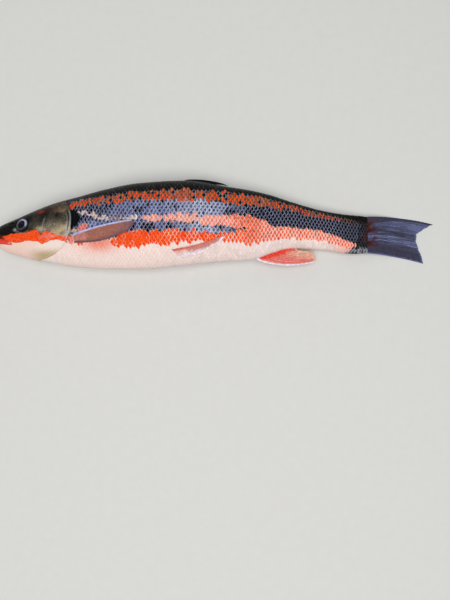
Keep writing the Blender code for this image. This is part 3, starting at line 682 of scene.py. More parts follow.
def relief(points, angle, below_mouth, coat_depth):
    """How far the skin stands out from the solid's surface, in millimetres."""
    x, y = points[..., 0], points[..., 1]
    behind, steep = x - gill_edge(angle), np.abs(angle)
    rim = -behind
    # the head lies just inside its solid, the trunk under the coat of scales
    depth = mix(-0.06, -coat_depth - 0.03, ease(behind / 2.4))
    depth = mix(depth, -0.25, rise(x, 262.0, 3.0))
    # mouth: the slit, the upper and the lower lip, and the groove below it
    depth += fall(x, MOUTH_CORNER - 1.6, 1.8) * (
        0.2 * hump(below_mouth + 0.85, 0.55) + 0.35 * hump(below_mouth - 1.15, 0.8)
        - 0.85 * hump(below_mouth, 0.24) - 0.16 * hump(below_mouth - 2.7, 0.4) * rise(x, 3.0, 2.0))
    depth -= 0.35 * hump(x - MOUTH_CORNER, 0.8) * hump(y + 6.1, 0.9)
    # nostrils: two pits a side with raised rims
    for pit_x, pit_y, radius in NOSTRILS:
        out = np.hypot(x - pit_x, y - pit_y)
        depth += 0.2 * hump(out - radius * 1.7, 0.4) - 0.85 * hump(out, radius)
    # cheek: the line of the cheek bone, and the canal below the eye
    past_bone = x - cheek_edge(y)
    depth += (0.16 * hump(past_bone + 1.1, 0.9) - 0.24 * hump(past_bone, 0.4)) * between(y, -12.0, 13.0, 3.0)
    canal = np.hypot(x - EYE_X, y - EYE_Y) - 8.0 - 0.12 * (x - EYE_X)
    depth -= 0.08 * hump(canal, 0.45) * fall(y, 0.0, 4.0)
    # gill cover: a raised rim, the cleft behind it, and folds of skin along its lower edge
    covered = rise(steep, math.radians(34), math.radians(10))
    depth += covered * (0.24 * hump(rim - 1.3, 1.5) * ease(rim / 0.3) - 0.14 * hump(rim - 2.6, 0.35)
                        - 0.8 * hump(behind - 0.4, 0.42))
    folds = rise(steep, math.radians(118), math.radians(12)) * between(rim, 2.4, 10.5, 1.5)
    depth += 0.16 * folds * np.cos(rim * math.tau / 2.4)
    # the uneven bones of the head under its skin
    bones = 0.16 * (lumps(x, y, 4.5, 21) - 0.5) + 0.04 * (lumps(x, y, 1.3, 22) - 0.5)
    return (depth + ease(rim / 2.0) * bones) * ease(x / 3.0)


def socket_depth(points, sides):
    """How far the skin sinks round each eye, with a low rim, so that the eyeball shows."""
    depth = 0.0
    for side in (1.0, -1.0):
        spot, look = eye_frame(side)
        from_eye = points - spot
        height = from_eye @ look
        out = np.linalg.norm(from_eye - height[..., None] * look, axis=-1)
        dip = (0.2 * hump(out - 5.5, 0.45) - 2.4 * fall(out, 4.25, 0.75)
               - 0.35 * fall(out, 4.6, 2.2) - 0.1 * hump(out - 6.5, 0.5))
        depth = depth + np.where((sides == side) & (height > -8.0), dip, 0.0)
    return depth


def make_skin(context):
    """One closed skin over the head, the trunk and the tail, shaped and painted."""
    sizes, colours = context.scene.dace_sizes, context.scene.dace_colours
    left, right = skin_half(1.0, sizes), skin_half(-1.0, sizes)
    points, angle, below_mouth = (joined_ring(a, b) for a, b in zip(left, right))
    sides = joined_ring(np.ones_like(left[1]), -np.ones_like(right[1]))
    around = np.roll(points, -1, axis=1) - np.roll(points, 1, axis=1)
    normals = unit(np.cross(around, np.gradient(points, axis=0)))
    x = points[..., 0]
    paint = markings(x, points[..., 1], angle)
    shaped = points + normals * relief(points, angle, below_mouth, sizes.coat_depth / MM)[..., None]
    shaped += normals * socket_depth(shaped, sides)[..., None]
    shaped[..., 0] += JAW_SETBACK * np.clip(1.0 - x / 12.0, 0.0, 1.0) ** 2 * ease(below_mouth / 0.6)
    tips = np.array((section(np.array(0.0), np.array(0.0)), shaped[-1].mean(axis=0)))
    faces, corners = zip(tube(*x.shape, 0.02), fans(*x.shape, 0.02))
    values = {key: np.append(paint[key].ravel(), (paint[key][0, 0], paint[key][-1, 0])) for key in PIGMENTS}
    skin = new_piece("skin", placed(np.concatenate((shaped.reshape(-1, 3), tips))), faces, corners, values,
                     wet_skin_material(colours))
    ride_body(skin, "head_skin", "head", "lower_jaw", "gill_cover_left", "gill_cover_right", "trunk_front",
              "trunk_rear", "tail_stalk")


# ---------------------------------------------------------------- scales

class BodyMap:
    """The body's surface by distance from the snout and walk round it from the back, left side positive."""
    START, STEP, HALF = 30.0, 0.5, 180  # first distance, spacing, and rows down each side

    def __init__(self):
        self.x = np.arange(self.START, BODY_END + self.STEP / 2, self.STEP)
        self.dense, share = np.linspace(0.0, math.pi, 721), np.linspace(0.0, 1.0, self.HALF + 1)
        self.from_back, angles = {}, {}
        for side in (1.0, -1.0):
            ring = section(*np.broadcast_arrays(self.x[:, None], side * self.dense))
            self.from_back[side] = walked(ring)
            angles[side] = np.array([np.interp(share * row[-1], row, self.dense)
                                     for row in self.from_back[side]])
        self.angle = np.concatenate((-angles[-1.0][:, :0:-1], angles[1.0]), axis=1)
        self.points = section(*np.broadcast_arrays(self.x[:, None], self.angle))
        around = np.gradient(self.points, axis=1)
        around[:, 0] = around[:, -1] = self.points[:, 1] - self.points[:, -2]
        self.normals = unit(np.cross(around, np.gradient(self.points, axis=0)))

    def walk_length(self, x, side):
        """The walk from the back to the belly at x, down one side."""
        return np.interp(x, self.x, self.from_back[side][:, -1])

    def find(self, x, walk, side):
        """Points, normals and angles at x, a walk in millimetres from the back down that side."""
        share = np.mod(side * walk / self.walk_length(x, side) + 1.0, 2.0)
        column = np.clip((x - self.START) / self.STEP, 0.0, len(self.x) - 1.001)
        row = np.clip(share * self.HALF, 0.0, 2 * self.HALF - 0.001)
        i, j = column.astype(int), row.astype(int)
        a, b = (column - i)[..., None], (row - j)[..., None]
        points, normals, angles = (
            mix(mix(table[i, j], table[i + 1, j], a), mix(table[i, j + 1], table[i + 1, j + 1], a), b)
            for table in (self.points, self.normals, self.angle[..., None]))
        return points, unit(normals), angles[..., 0]


def plate_plan():
    """One scale seen flat: points in scale lengths and row spacings, faces, and a patch of the unwrap."""
    # the rear edge is round, and the root is narrower, with a hollow end
    across, along = 8, 5
    turn = np.linspace(-math.pi / 2, math.pi / 2, across + 1)[:, None]
    share = np.array((0.0, 0.34, 0.6, 0.79, 0.92, 1.0))
    side = np.sin(turn)
    rear_x = -1.02 * (1.0 - np.cos(turn))
    x = mix(-PLATE_REACH + 0.35 * side ** 2, rear_x, share)
    y = mix(0.82 * side, 1.12 * side, ease(share * 1.5))
    index = np.arange(x.size).reshape(x.shape)
    a, b = (part.ravel() for part in np.meshgrid(np.arange(across), np.arange(along), indexing="ij"))
    around = ((0, 0), (0, 1), (1, 1), (1, 0))
    top = rows(*(index[a + right, b + up] for right, up in around))
    top_map = corner_rows(*(((a + right) / across, (b + up) / along) for right, up in around))
    # the walls hang from the rim of the top, and the underside is a fan
    loop = np.concatenate((index[:-1, 0], index[-1, :-1], index[:0:-1, -1], index[0, :0:-1]))
    count = len(loop)
    place = np.arange(count)
    under, following = x.size + place, (place + 1) % count
    walls = rows(loop, loop[following], under[following], under)[:, ::-1]
    bottom = rows(x.size + count, under, under[following])[:, ::-1]
    low, high = place / count, (place + 1) / count
    wall_map = corner_rows((1.0, low), (1.0, high), (0.0, high), (0.0, low))
    bottom_map = corner_rows(*((0.5 + 0.5 * np.cos(math.tau * t), 0.5 + 0.5 * np.sin(math.tau * t))
                               for t in (high, low)), (0.5, 0.0 * low + 0.5))
    # the seen face takes half the patch, the underside most of the rest
    patch = (top_map * (0.95, 0.56), wall_map * (0.12, 0.4) + (0.0, 0.6),
             bottom_map * (0.4, 0.4) + (0.2, 0.6))
    ahead = (rear_x - x).ravel()
    return x.ravel(), y.ravel(), ahead, np.repeat(side, along + 1), loop, (top, walls, bottom), patch


def lay_rows(surface, side):
    """Places of all scales of one side: tip distance from the snout, walk from the back, and row."""
    tips = [FIRST_TIP]
    while tips[-1] < BODY_END - 0.7:
        tips.append(tips[-1] + float(scale_length(tips[-1])) / 2.0)
    # rows count from the lateral line, and neighbouring columns take turns, as tiles on a roof do
    places = []
    for column, tip in enumerate(tips):
        height = back_line(tip) - lateral_line(tip) * (back_line(tip) - belly_line(tip))
        nearest = int(np.clip((tip - surface.START) / surface.STEP, 0, len(surface.x) - 1))
        line = np.interp(angle_at(tip, height), surface.dense, surface.from_back[1.0][nearest])
        spacing = float(row_spacing(tip))
        first = math.ceil((0.3 * spacing - line) / spacing)
        last = math.floor((float(surface.walk_length(tip, side)) - 0.3 * spacing - line) / spacing)
        places += [(tip, line + row * spacing, row) for row in range(first, last + 1)
                   if (row + column) % 2 == 0]
    places = np.array(places)
    angle = surface.find(places[:, 0], places[:, 1], side)[2]
    return places[places[:, 0] > gill_edge(angle) + BARE_SKIN]


def scale_paint(x, y, angle, rim, across, draws):
    """Pigments over every scale at its points, with how strongly its rim and the painted shade on its front
    show.

    rim is the distance from the rear rim, and across goes from -1 to 1 over the scale's width.
    Each scale has its own draws: how light and how deep its colour is, whether its orange is
    lost, how it clumps and frays, how its rim shines, and how far it blushes.
    """
    light, deep, lost, clump, fray, shine, blush = draws[:7]
    paint = markings(x, y, angle, 1.6 * (fray - 0.5))
    share, cream, slate, pink = paint["share"], paint["cream"], paint["slate"], paint["pink"]
    # a scale is orange or not, and some of the upper stripe's stay dark
    upper = fall(share, 0.26, 0.06)
    strength = paint["vermilion"] - 0.25 * (deep - 0.5)
    kept = rise(strength, 0.36, 0.2) * np.where((lost < 0.14) & (upper > 0.5), 0.1, 1.0)
    low_front = kept * rise(share, 0.55, 0.04) * fall(x, 142.0, 30.0)
    warm = kept * (1.0 - upper)
    rear = rise(x, 178.0, 40.0)
    back = fall(share - orange_top(x), -0.02, 0.02) * (1.0 - cream)
    belly = cream * rise(share, 0.66, 0.05)
    flesh = rise(pink, 0.6, 0.2)
    front_middle = cream * fall(share, 0.6, 0.05) * (1.0 - flesh)
    # the orange of a scale keeps to its middle, over brown on the back and over pink lower down
    kernel = rise(rim, 0.35, 0.35) * fall(rim, 1.5, 0.5) * fall(np.abs(across), 0.45, 0.4)
    lone = mix(0.9, 0.08 + 0.5 * (blush > 0.85) + 0.9 * fall(strength, 0.5, 0.45), low_front)
    spread = np.minimum(most(mix(0.9, 0.85, rear) * kept * upper, warm * lone), 1.0)
    spread = spread * (1.0 - 0.32 * warm * hump(x - 180.0, 16.0))
    under = warm * spread * (1.0 - kernel)
    dimmed = (0.25 * rise(x, 176.0, 14.0) + 0.45 * rise(x, 238.0, 16.0)) * upper
    paint["vermilion"] = kept * (1.0 - spread * (1.0 - kernel)) * (1.0 - dimmed)
    paint["tan"] = most(paint["tan"], 0.2 * (1.0 - rear) * kept * upper)
    paint["cream"] = most(cream, 0.9 * under)
    paint["pink"] = most(pink, (0.45 + 0.4 * blush) * under)
    paint["maroon"] = most(paint["maroon"], 0.75 * kept * upper * (1.0 - kernel) * clump)
    paint["salmon"] = most(paint["salmon"] * (0.5 + 0.5 * clump), 0.12 * rear * upper)
    # a painted silver highlight on the slate scales about the middle of the flank
    paint["pale"] = most(paint["pale"], 0.4 * slate * hump(x - 147.0, 16.0) * (1.0 - kept))
    # scales with black middles stand in clumps, more of them where this bound is low: it goes
    # along the flank first, and then over the lower band and the shoulder
    bound = mix(-0.6, 0.56, fall(x, 170.0, 20.0)) + 0.1 * hump(x - 136.0, 20.0) + 0.16 * hump(x - 150.0, 11.0)
    bound = (bound + 0.06 - 0.14 * hump(x - 128.0, 22.0) * rise(share, 0.5, 0.04)
             + 0.5 * hump(x - 72.0, 10.0) * rise(share, 0.4, 0.05)
             - 0.22 * hump(x - 78.0, 14.0) * hump(share - 0.24, 0.08)
             - 0.25 * hump(x - 110.0, 9.0) * rise(share, 0.48, 0.03))
    clumps = 0.55 * lumps(x, y, 5.0, 31) + 0.45 * clump
    paint["jet"] = slate * rise(clumps - bound, 0.0, 0.14) * (1.0 - kept)
    # how strongly the light rear rim shows: partly the scales' own pale edge and partly painted glints of
    # light; on the back only painted glints, on some scales
    far = rise(x, 114.0, 14.0)
    net = mix(0.8 + 0.2 * shine, (0.3 + 0.6 * shine) * (0.75 + 0.25 * across), paint["front"])
    for amount, where in ((mix(0.12 + 0.35 * shine, (0.2 + 0.8 * far) * shine, low_front), warm),
                          (mix(0.1, 0.3, rear) + 0.25 * shine, kept * upper), (0.2 + 0.3 * shine, cream),
                          ((0.14 + 0.45 * (fray > 0.7)) * (1.0 - 0.9 * np.abs(across)), back)):
        net = mix(net, amount, where)
    paint["net"] = (net * (1.0 - 0.35 * rise(x, 238.0, 14.0)) * (1.0 - 0.75 * paint["stalk"])
                    * (1.0 - 0.85 * paint["soot"]))
    rear_belly = belly * rise(x, 100.0, 60.0)
    silvered = cream * (1.0 - 0.75 * rear_belly * (0.4 + 0.6 * blush))
    paint["warm"] = np.clip(most(kept * (1.0 - upper * (0.3 + 0.6 * blush)), silvered), 0.0, 1.0)
    paint["dull"] = most(back, paint["soot"], kept)
    # brightness of the whole scale, lighter in a painted sheen along the slate band, and how dark the
    # painted shade on its front is
    bright = (slate_sheen(x) * (1.0 + 8.0 * hump(x - 70.0, 8.0) * rise(share, 0.4, 0.05))
              * (1.0 - 0.25 * hump(x - 128.0, 22.0) * rise(share, 0.5, 0.04)))
    tone = mix(1.0, 1.35 * bright, slate) * (0.68 + 0.64 * light)
    tone = mix(tone, 1.1 + 0.35 * light, kept * upper)
    tone = mix(tone, (0.85 + 0.3 * light) * mix(1.0, 0.62, front_middle), most(warm, cream))
    even = mix(0.97 + 0.06 * light, 0.88 + 0.18 * light, rear_belly)
    paint["tone"] = mix(tone, even, most(belly, low_front))
    paint["front_shade"] = ((0.6 + 0.4 * deep) * (1.0 - 0.9 * belly) * (1.0 - 0.92 * warm)
                    * (1.0 - 0.75 * kept * upper) * (1.0 - 0.5 * front_middle) * (1.0 - 0.75 * flesh))
    return paint


def make_scales(context):
    """Thin closed plates in rows over both flanks, in three pieces a side."""
    sizes = context.scene.dace_sizes
    surface, material = BodyMap(), scale_material(context.scene.dace_colours)
    plan_x, plan_y, ahead, side_share, loop, faces, patch = plate_plan()
    open_points = len(plan_x)
    # every point of the closed plate takes its values from a point of the open face
    source = np.concatenate((np.arange(open_points), loop, (open_points // 2,)))
    coat, thick = sizes.coat_depth / MM, sizes.scale_thickness / MM
    for side, side_name in ((1.0, "left"), (-1.0, "right")):
        rng = np.random.default_rng(sizes.seed + int(side))
        places = lay_rows(surface, side)
        # eight draws for each scale, which shift, tilt, size and colour it
        draws = rng.random((8, len(places), 1))
        tip = places[:, 0:1] + 0.4 * (draws[5] - 0.5)
        walk = places[:, 1:2] + 0.25 * (draws[6] - 0.5)
        length, spacing = scale_length(tip), row_spacing(tip)
        grown = 0.96 + 0.08 * draws[7]
        near_rim = np.clip((tip - gill_edge(surface.find(tip, walk, side)[2])) / (2.0 * length), 0.35, 1.0)
        points, normals, angle = surface.find(tip + plan_x * length * grown * near_rim,
                                              walk + plan_y * spacing * grown, side)
        # each plate sinks from its free rear edge to its root, and its corners sink a little
        lift = -coat * np.clip(-plan_x / PLATE_REACH, 0.0, 1.0) * near_rim - 0.05 * side_share ** 2
        lift = lift - 0.02 + 0.05 * (draws[2] - 0.6) * (1.0 + plan_x)
        # scales of the lateral line carry a pore
        pore = (places[:, 2:3] == 0) * hump(plan_y, 0.16) * hump(plan_x + 0.55, 0.5)
        solid = (points + normals * np.minimum(lift + 0.05 * pore, 0.0)[..., None])[:, source]
        solid[:, open_points:] -= thick * normals[:, source[open_points:]]
        rim = ahead * length * grown * near_rim
        # half of a marking's place is the scale's own, so that edges of stripes follow the scales
        centre, _, turned = surface.find(tip - 0.45 * length, walk, side)
        shared, shared_angle = mix(centre, points, 0.5), mix(np.abs(turned), np.abs(angle), 0.5)
        paint = scale_paint(shared[..., 0], shared[..., 1], shared_angle, rim, side_share, draws)
        values = {key: np.broadcast_to(paint[key], rim.shape)[:, source] for key in PIGMENTS + SCALE_VALUES}
        values.update(rim=rim[:, source], across=np.broadcast_to(side_share, rim.shape)[:, source])
        values["rim"][:, -1] = 3.0  # the middle of the underside lies far from the rim
        total = surface.walk_length(tip, side)
        for low, high, region in COAT_LENGTHS:
            chosen = np.flatnonzero((tip[:, 0] >= low) & (tip[:, 0] < high))
            base = 0.02 + 0.95 * np.concatenate(((tip - low) / (high - low), walk / total), axis=1)[chosen]
            step = (np.arange(len(chosen)) * len(source))[:, None, None]
            parts = [(part + step).reshape(-1, part.shape[1]) for part in faces]
            maps = [(base[:, None, None] + sizes.patch * part).reshape(-1, part.shape[1], 2)
                    for part in patch]
            paints = {key: array[chosen] for key, array in values.items()}
            coat_piece = new_piece(f"scales_{region}_{side_name}", placed(solid[chosen]), parts, maps, paints,
                                   material, sharp=50.0)
            ride_body(coat_piece, "tail_skin" if region == "tail" else "flank_skin")


# ---------------------------------------------------------------- eyes

def make_eyes(context):
    """Two flattened eyeballs of rings round the direction each looks in."""
    material = eye_material(context.scene.dace_colours)
    rings, spokes = 40, 96
    latitude = np.linspace(0.015, math.pi - 0.015, rings)[:, None]
    out, depth = EYE_RADIUS * np.sin(latitude), EYE_HALF_DEPTH * np.cos(latitude)
    turn = np.arange(spokes) * math.tau / spokes
    across, height = out * np.cos(turn), out * np.sin(turn)
    # the lens bulges out of the iris, with a groove and a low ring round it
    front, from_pupil = depth > 0.0, np.hypot(across - PUPIL[0], height - PUPIL[1])
    raised = depth + front * (0.34 * fall(from_pupil, 1.2, 1.7) - 0.16 * hump(from_pupil - 3.2, 0.35)
                              + 0.05 * hump(from_pupil - 3.9, 0.4))
    # the last two points are the middles of the front and the back
    values = {"from_pupil": np.append(np.where(front, from_pupil, FAR), (math.hypot(*PUPIL), FAR)),
              "from_middle": np.append(np.broadcast_to(out, across.shape), (0.0, 0.0)),
              # height runs across the eye at a slant, up and towards the tail; along it the iris is painted
              # lighter above and darker below, as light falls
              "height": np.append((across + height) / 1.41, (0.0, 0.0))}
    faces, maps = zip(tube(rings, spokes, 0.05), fans(rings, spokes, 0.05))
    for side, name in ((1, "left"), (-1, "right")):
        spot, look = eye_frame(side)
        tailward = unit(np.array((1.0, 0.0, 0.0)) - look[0] * look)
        up, centre = np.cross(look, tailward) * side, spot - look * EYE_SINK
        points = centre + across[..., None] * tailward + height[..., None] * up + raised[..., None] * look
        ends = centre + look * np.array(((EYE_HALF_DEPTH + 0.16,), (-EYE_HALF_DEPTH,)))
        eye = new_piece(f"eyeball_{name}", placed(np.concatenate((points.reshape(-1, 3), ends))),
                        [part[:, ::-side] for part in faces], [part[:, ::-side] for part in maps],
                        values, material)
        ride_body(eye, "eye", f"eye_{name}")


# ---------------------------------------------------------------- fins

# A fin's shape gives x, y and z for u, from 0 at the first ray to 1 at the last, and v, from 0
# at the root to 1 at the outer edge.

def ray_point(root_x, root_y, angle, length, bow, share):
    """A point on a ray seen from the side. bow is its sideways bend at mid-length."""
    angle = np.radians(angle)
    bend = bow * 4.0 * share * (1.0 - share)
    return (root_x + np.cos(angle) * length * share - np.sin(angle) * bend,
            root_y + np.sin(angle) * length * share + np.cos(angle) * bend)


def pectoral_plan(u, v):
    """x and y of both pectoral fins before they are laid on the body."""
    length = 42.8 - 26.3 * u ** 2.1 - 1.6 * fall(u, 0.0, 0.14)
    return ray_point(mix(61.2, 62.2, u), mix(-0.6, -6.6, u), mix(12.5, 3.0, u ** 0.8), length,
                     mix(1.2, -0.2, u), v)


def pectoral_left(u, v):
    """The pectoral fin folded back along the upper flank, rooted under the gill cover's corner."""
    x, y = pectoral_plan(u, v)
    return x, y, flank_height(x, y) + mix(-0.3, mix(1.0, 1.35, v), ease(v / 0.12))


def pectoral_right(u, v):
    """The other pectoral fin, pressed flat between the body and the floor."""
    x, y = pectoral_plan(u, v)
    return x, mix(y, pectoral_plan(u, 0.0 * v)[1], 0.9) - 1.0, 0.3 + 0.0 * x


def pelvic_plan(u, v):
    """x and y of both pelvic fins before they are laid on the body."""
    return ray_point(mix(127.3, 132.0, u), mix(-10.8, -15.6, u), mix(15.5, 14.0, u), 35.5 - 18.0 * u ** 2.2,
                     -1.6, v)


def pelvic_left(u, v):
    """The pelvic fin folded back and up along the flank."""
    x, y = pelvic_plan(u, v)
    return x, y, flank_height(x, y) + mix(-0.3, mix(1.1, 1.2, v), ease(v / 0.14))


def pelvic_right(u, v):
    """On the floor side the pelvic fin hangs from the belly to the floor."""
    root_x, root_y = pelvic_plan(u, 0.0 * v)
    x, y = pelvic_plan(u, v)
    start = flank_height(root_x, root_y, -1.0) - mix(-0.4, 1.2, ease(v / 0.14))
    return x, mix(y, root_y, 0.85), mix(start, 0.3, ease(v * 1.3))


def anal_fin(u, v):
    """The anal fin folded back below the tail."""
    root_x = mix(184.5, 213.6, u)
    x, y = ray_point(root_x, belly_line(root_x) - 0.4 + 1.2 * fall(v, 0.0, 0.1), mix(-1.6, -6.0, u),
                     43.0 - 31.0 * u ** 1.1, mix(-3.2, -0.4, u), v)
    return x, y, middle_height(root_x) - 2.5 * v * v


def dorsal_fin(u, v):
    """The dorsal fin folded flat along the back, a low smooth crest."""
    root_x = mix(133.0, 156.5, u)
    x, y = ray_point(root_x, back_line(root_x) + 0.4, mix(-3.4, -6.5, u), mix(27.5, 9.0, u),
                     mix(1.3, 0.2, u), v)
    y = np.maximum(y, back_line(x) + mix(1.0, 0.45, u) * v + 0.4) - 1.2 * fall(v, 0.0, 0.1)
    return x, y, middle_height(x) - 0.8 * v


def caudal_fin(u, v):
    """The tail fin, half folded, with two lobes behind a shallow fork, sinking to the floor."""
    start, angle = 263.0, mix(-5.2, -9.2, u) + 4.0 * np.sin(math.pi * u)
    length = 39.8 + mix(14.0, 6.5, u) * np.abs(2.0 * u - 1.0) ** 1.6
    x, y = ray_point(start, mix(15.0, -11.0, u), angle, length, mix(2.4, 1.4, u), v)
    fold = 0.6 * np.sin(math.pi * 5.0 * u) ** 2 * ease(v * 2.0) * (1.0 - 0.6 * rise(v, 0.6, 0.4))
    return x, y, mix(middle_height(start), 0.3, rise(x, start, 32.0)) + fold


def ray_ridges(u, v, rays):
    """How far a point of a fin stands on a ray, 0 to 1, on rays that split twice towards the edge."""
    place = np.mod(u * rays, 1.0) - 0.5
    split = u * rays >= 1.0
    first, second = 0.21 * split * rise(v, 0.35, 0.3), 0.1 * split * rise(v, 0.68, 0.22)
    width = mix(0.2, 0.085, rise(v, 0.2, 0.6))
    return most(*(hump(place + one * first + two * second, width) for one in (-1, 1) for two in (-1, 1)))


def reach_of(points, line):
    """Distance in millimetres from every point to the nearest point of a line."""
    return np.sqrt(((points[..., None, :] - line) ** 2).sum(axis=-1).min(axis=-1))


def fin_piece(name, shape, rays, root_thick, material, slot, node, lead=0.8, edge=0.8, base=4.0, gather=0.0,
              glow=lambda u, v: 1.0, spread=lambda u, v: 0.0, blotch=0.3):
    """A closed fin: a thin membrane carried by rays that stand out on both of its faces.

    lead, edge and base are the widths in millimetres of the stained strips along the first ray,
    the outer margin and the root; on the pectoral fins the strip along the first ray is a painted
    highlight. gather draws the rays together at the root. glow(u, v) says how much the rays show,
    and on the tail fin it paints highlights on them and shade in its fold. spread(u, v) says how much
    the margin's colour reaches into the fin, and blotch how patchy the root is.
    """
    across, along = rays * 9, 64  # nine columns of points draw one ray
    u, v = np.meshgrid(np.linspace(0.0, 1.0, across + 1), np.linspace(0.0, 1.0, along + 1), indexing="ij")
    fanned = np.clip(0.5 + (u - 0.5) * (1.0 + gather * fall(v, 0.0, 0.8)), 0.0, 0.99999)
    ridge = ray_ridges(fanned, v, rays)
    frayed = v * (1.0 - 0.012 * (1.0 - ridge) * rise(v, 0.8, 0.2)
                  - 0.03 * (lumps(u * 40.0, v * 0.0, 2.5, 41) - 0.5) * rise(v, 0.85, 0.15))
    points = np.stack(shape(u, frayed), axis=-1)
    normal = unit(np.cross(np.gradient(points, axis=1), np.gradient(points, axis=0)))
    normal *= np.where(normal[..., 2:].mean() < 0.0, -1.0, 1.0)
    thin = np.minimum(1.0, np.minimum(u, 1.0 - u) * rays * 2.5)
    thick = mix(root_thick, 0.42, ease(v * 1.5)) * (0.45 + 0.55 * ridge) * (0.35 + 0.65 * thin)
    half = normal * thick[..., None] / 2
    ring = np.concatenate((points + half, (points - half)[::-1]), axis=0).transpose(1, 0, 2)
    columns, around = ring.shape[:2]
    # the sides, and caps at the root and the outer edge
    parts, pair = [tube(columns, around, 0.03)], np.arange(across)
    left, right = pair / across, (pair + 1) / across
    for end, start, way in ((0, 0.0, 1), ((columns - 1) * around, 0.98, -1)):
        near, far = end + pair, end + around - 1 - pair
        parts.append((rows(near, near + 1, far - 1, far)[:, ::way],
                      corner_rows((start, left), (start, right), (start + 0.02, right),
                                  (start + 0.02, left))[:, ::way]))
    if np.cross(ring[0, 1] - ring[0, 0], ring[1, 0] - ring[0, 0]) @ normal[0, 0] > 0.0:
        parts = [(faces[:, ::-1], corners[:, ::-1]) for faces, corners in parts]
    # colours of the membrane and its rays, in millimetres from the edges that they follow: stain, and
    # painted highlights on the tail fin's rays and along the pectoral fins' first ray
    x, y = points[..., 0], points[..., 1]
    uneven = 1.0 + 0.7 * (lumps(x, y, 2.2, 43) - 0.5)
    from_root = np.linalg.norm(points - points[:, :1], axis=-1)
    from_margin = np.minimum(reach_of(points, points[::2, -1]), reach_of(points, points[-1]))
    streaky = 0.35 + 0.9 * lumps(u * rays * 1.7, v * 2.2, 1.0, 45)
    margin = most(fall(from_margin / (edge * uneven), 0.4, 1.0),
                  spread(u, v) * (0.4 + 0.6 * ridge) * (0.6 + 0.6 * streaky))
    patchy = 1.0 - blotch * fall(lumps(x, y * 1.6, 4.0, 49), 0.4, 0.2)
    stains_and_highlights = {"streak": np.clip(ridge * glow(u, v) * streaky, 0.0, 1.0), "along": from_root,
              "lead": fall(reach_of(points, points[0]) / (lead * (1.15 - 0.5 * v)), 0.7, 0.6),
              "edge": np.clip(margin, 0.0, 1.0),
              "root": patchy * fall(from_root / (base * uneven), 0.5, 0.9)}
    values = {key: np.concatenate((amount, amount[::-1])).T for key, amount in stains_and_highlights.items()}
    fin = new_piece(name, placed(ring), *zip(*parts), values, material, sharp=60.0)
    ride_body(fin, slot, node)


def outer_rays(u, v):
    """The pectoral fin darkens towards its tip."""
    return 0.8 * rise(v, 0.62, 0.3)


def lower_rays(u, v):
    """The pelvic fin pales towards its lower, outer part."""
    return 1.5 * rise(u, 0.35, 0.4) * rise(v, -0.1, 0.3)


def rear_rays(u, v):
    """The anal fin's last rays and its tip are pale."""
    return 0.95 * rise(u + 0.3 * v, 0.5, 0.3) * rise(v, 0.1, 0.25)


def ray_highlights_and_fold_shade(u, v):
    """The tail fin's rays carry painted highlights in two fans, in clumps, and a painted shadow darkens the
    fold between them.
    """
    clumps = rise(lumps(u * 26.0, v * 0.8, 1.0, 47), 0.25, 0.35)
    upper = 0.85 * hump(u - 0.26, 0.17) * (0.45 + 0.55 * clumps)
    lower = 1.3 * hump(u - 0.56 - 0.06 * v, 0.12) * (0.2 + 0.8 * clumps)
    fold = hump(u - 0.33 - 0.2 * v, 0.04) * between(v, 0.05, 0.8, 0.1)
    return (upper + lower + 0.4 * hump(u - 0.12, 0.1) * v) * (1.0 - 0.95 * fold)


def make_paired_fins(context):
    """The brown pectoral and the rosy pelvic fins."""
    colours = context.scene.dace_colours
    brown = fin_material("wet_pectoral_membrane", colours.pectoral, colours.pectoral_ray, colours.fin_lead_and_highlight,
                         colours.fin_trail, colours.pectoral_base)
    rosy = fin_material("wet_pelvic_membrane", colours.pelvic, colours.pelvic_ray, colours.pelvic_lead,
                        colours.pelvic_edge, colours.pelvic_base)
    for side, shape, thick in (("left", pectoral_left, 1.0), ("right", pectoral_right, 0.5)):
        fin_piece(f"pectoral_blade_{side}", shape, 15, thick, brown, "brown_fin", f"pectoral_fin_{side}",
                  lead=1.3, edge=1.5, base=9.0, spread=outer_rays, blotch=0.0)
    for side, shape in (("left", pelvic_left), ("right", pelvic_right)):
        fin_piece(f"pelvic_blade_{side}", shape, 9, 0.9, rosy, "red_fin", f"pelvic_fin_{side}", lead=1.3,
                  edge=1.3, base=10.0, spread=lower_rays)


def make_median_fins(context):
    """The black dorsal, the red anal and the steel-blue tail fin."""
    colours = context.scene.dace_colours
    black = fin_material("wet_dorsal_membrane", colours.dorsal, colours.dorsal_ray, colours.dorsal,
                         colours.dorsal_ray, colours.dorsal)
    red = fin_material("wet_anal_membrane", colours.anal, colours.anal_ray, colours.pelvic_edge,
                       colours.anal_edge, colours.anal_base)
    steel = fin_material("wet_caudal_membrane", colours.caudal, colours.caudal_ray, colours.caudal,
                         colours.caudal_edge, colours.caudal_base)
    fin_piece("dorsal_blade", dorsal_fin, 10, 1.2, black, "dark_fin", "dorsal_fin")
    fin_piece("anal_blade", anal_fin, 11, 1.2, red, "red_fin", "anal_fin", lead=1.2, edge=1.4, base=4.4,
              spread=rear_rays)
    fin_piece("caudal_blade", caudal_fin, 19, 1.7, steel, "dark_fin", "caudal_fin", lead=2.0, edge=0.9,
              base=8.5, gather=0.7, glow=ray_highlights_and_fold_shade, blotch=0.9)


# ---------------------------------------------------------------- stage

def floor_material(colour):
    """Matt pale card, whose fibres vary its tone a little."""
    material, tree, place = new_tree("matt_card_floor")
    fibre = add_node(tree, "TexNoise", Vector=place, Scale=1.0 / (6.0 * MM), Detail=6.0)
    tone = add_node(tree, "MapRange", fibre, 0.0, 1.0, 0.97, 1.03)
    return finished(material, Roughness=0.9, Base_Color=add_node(
        tree, "VectorMath", tuple(colour), Scale=tone, operation="SCALE"))


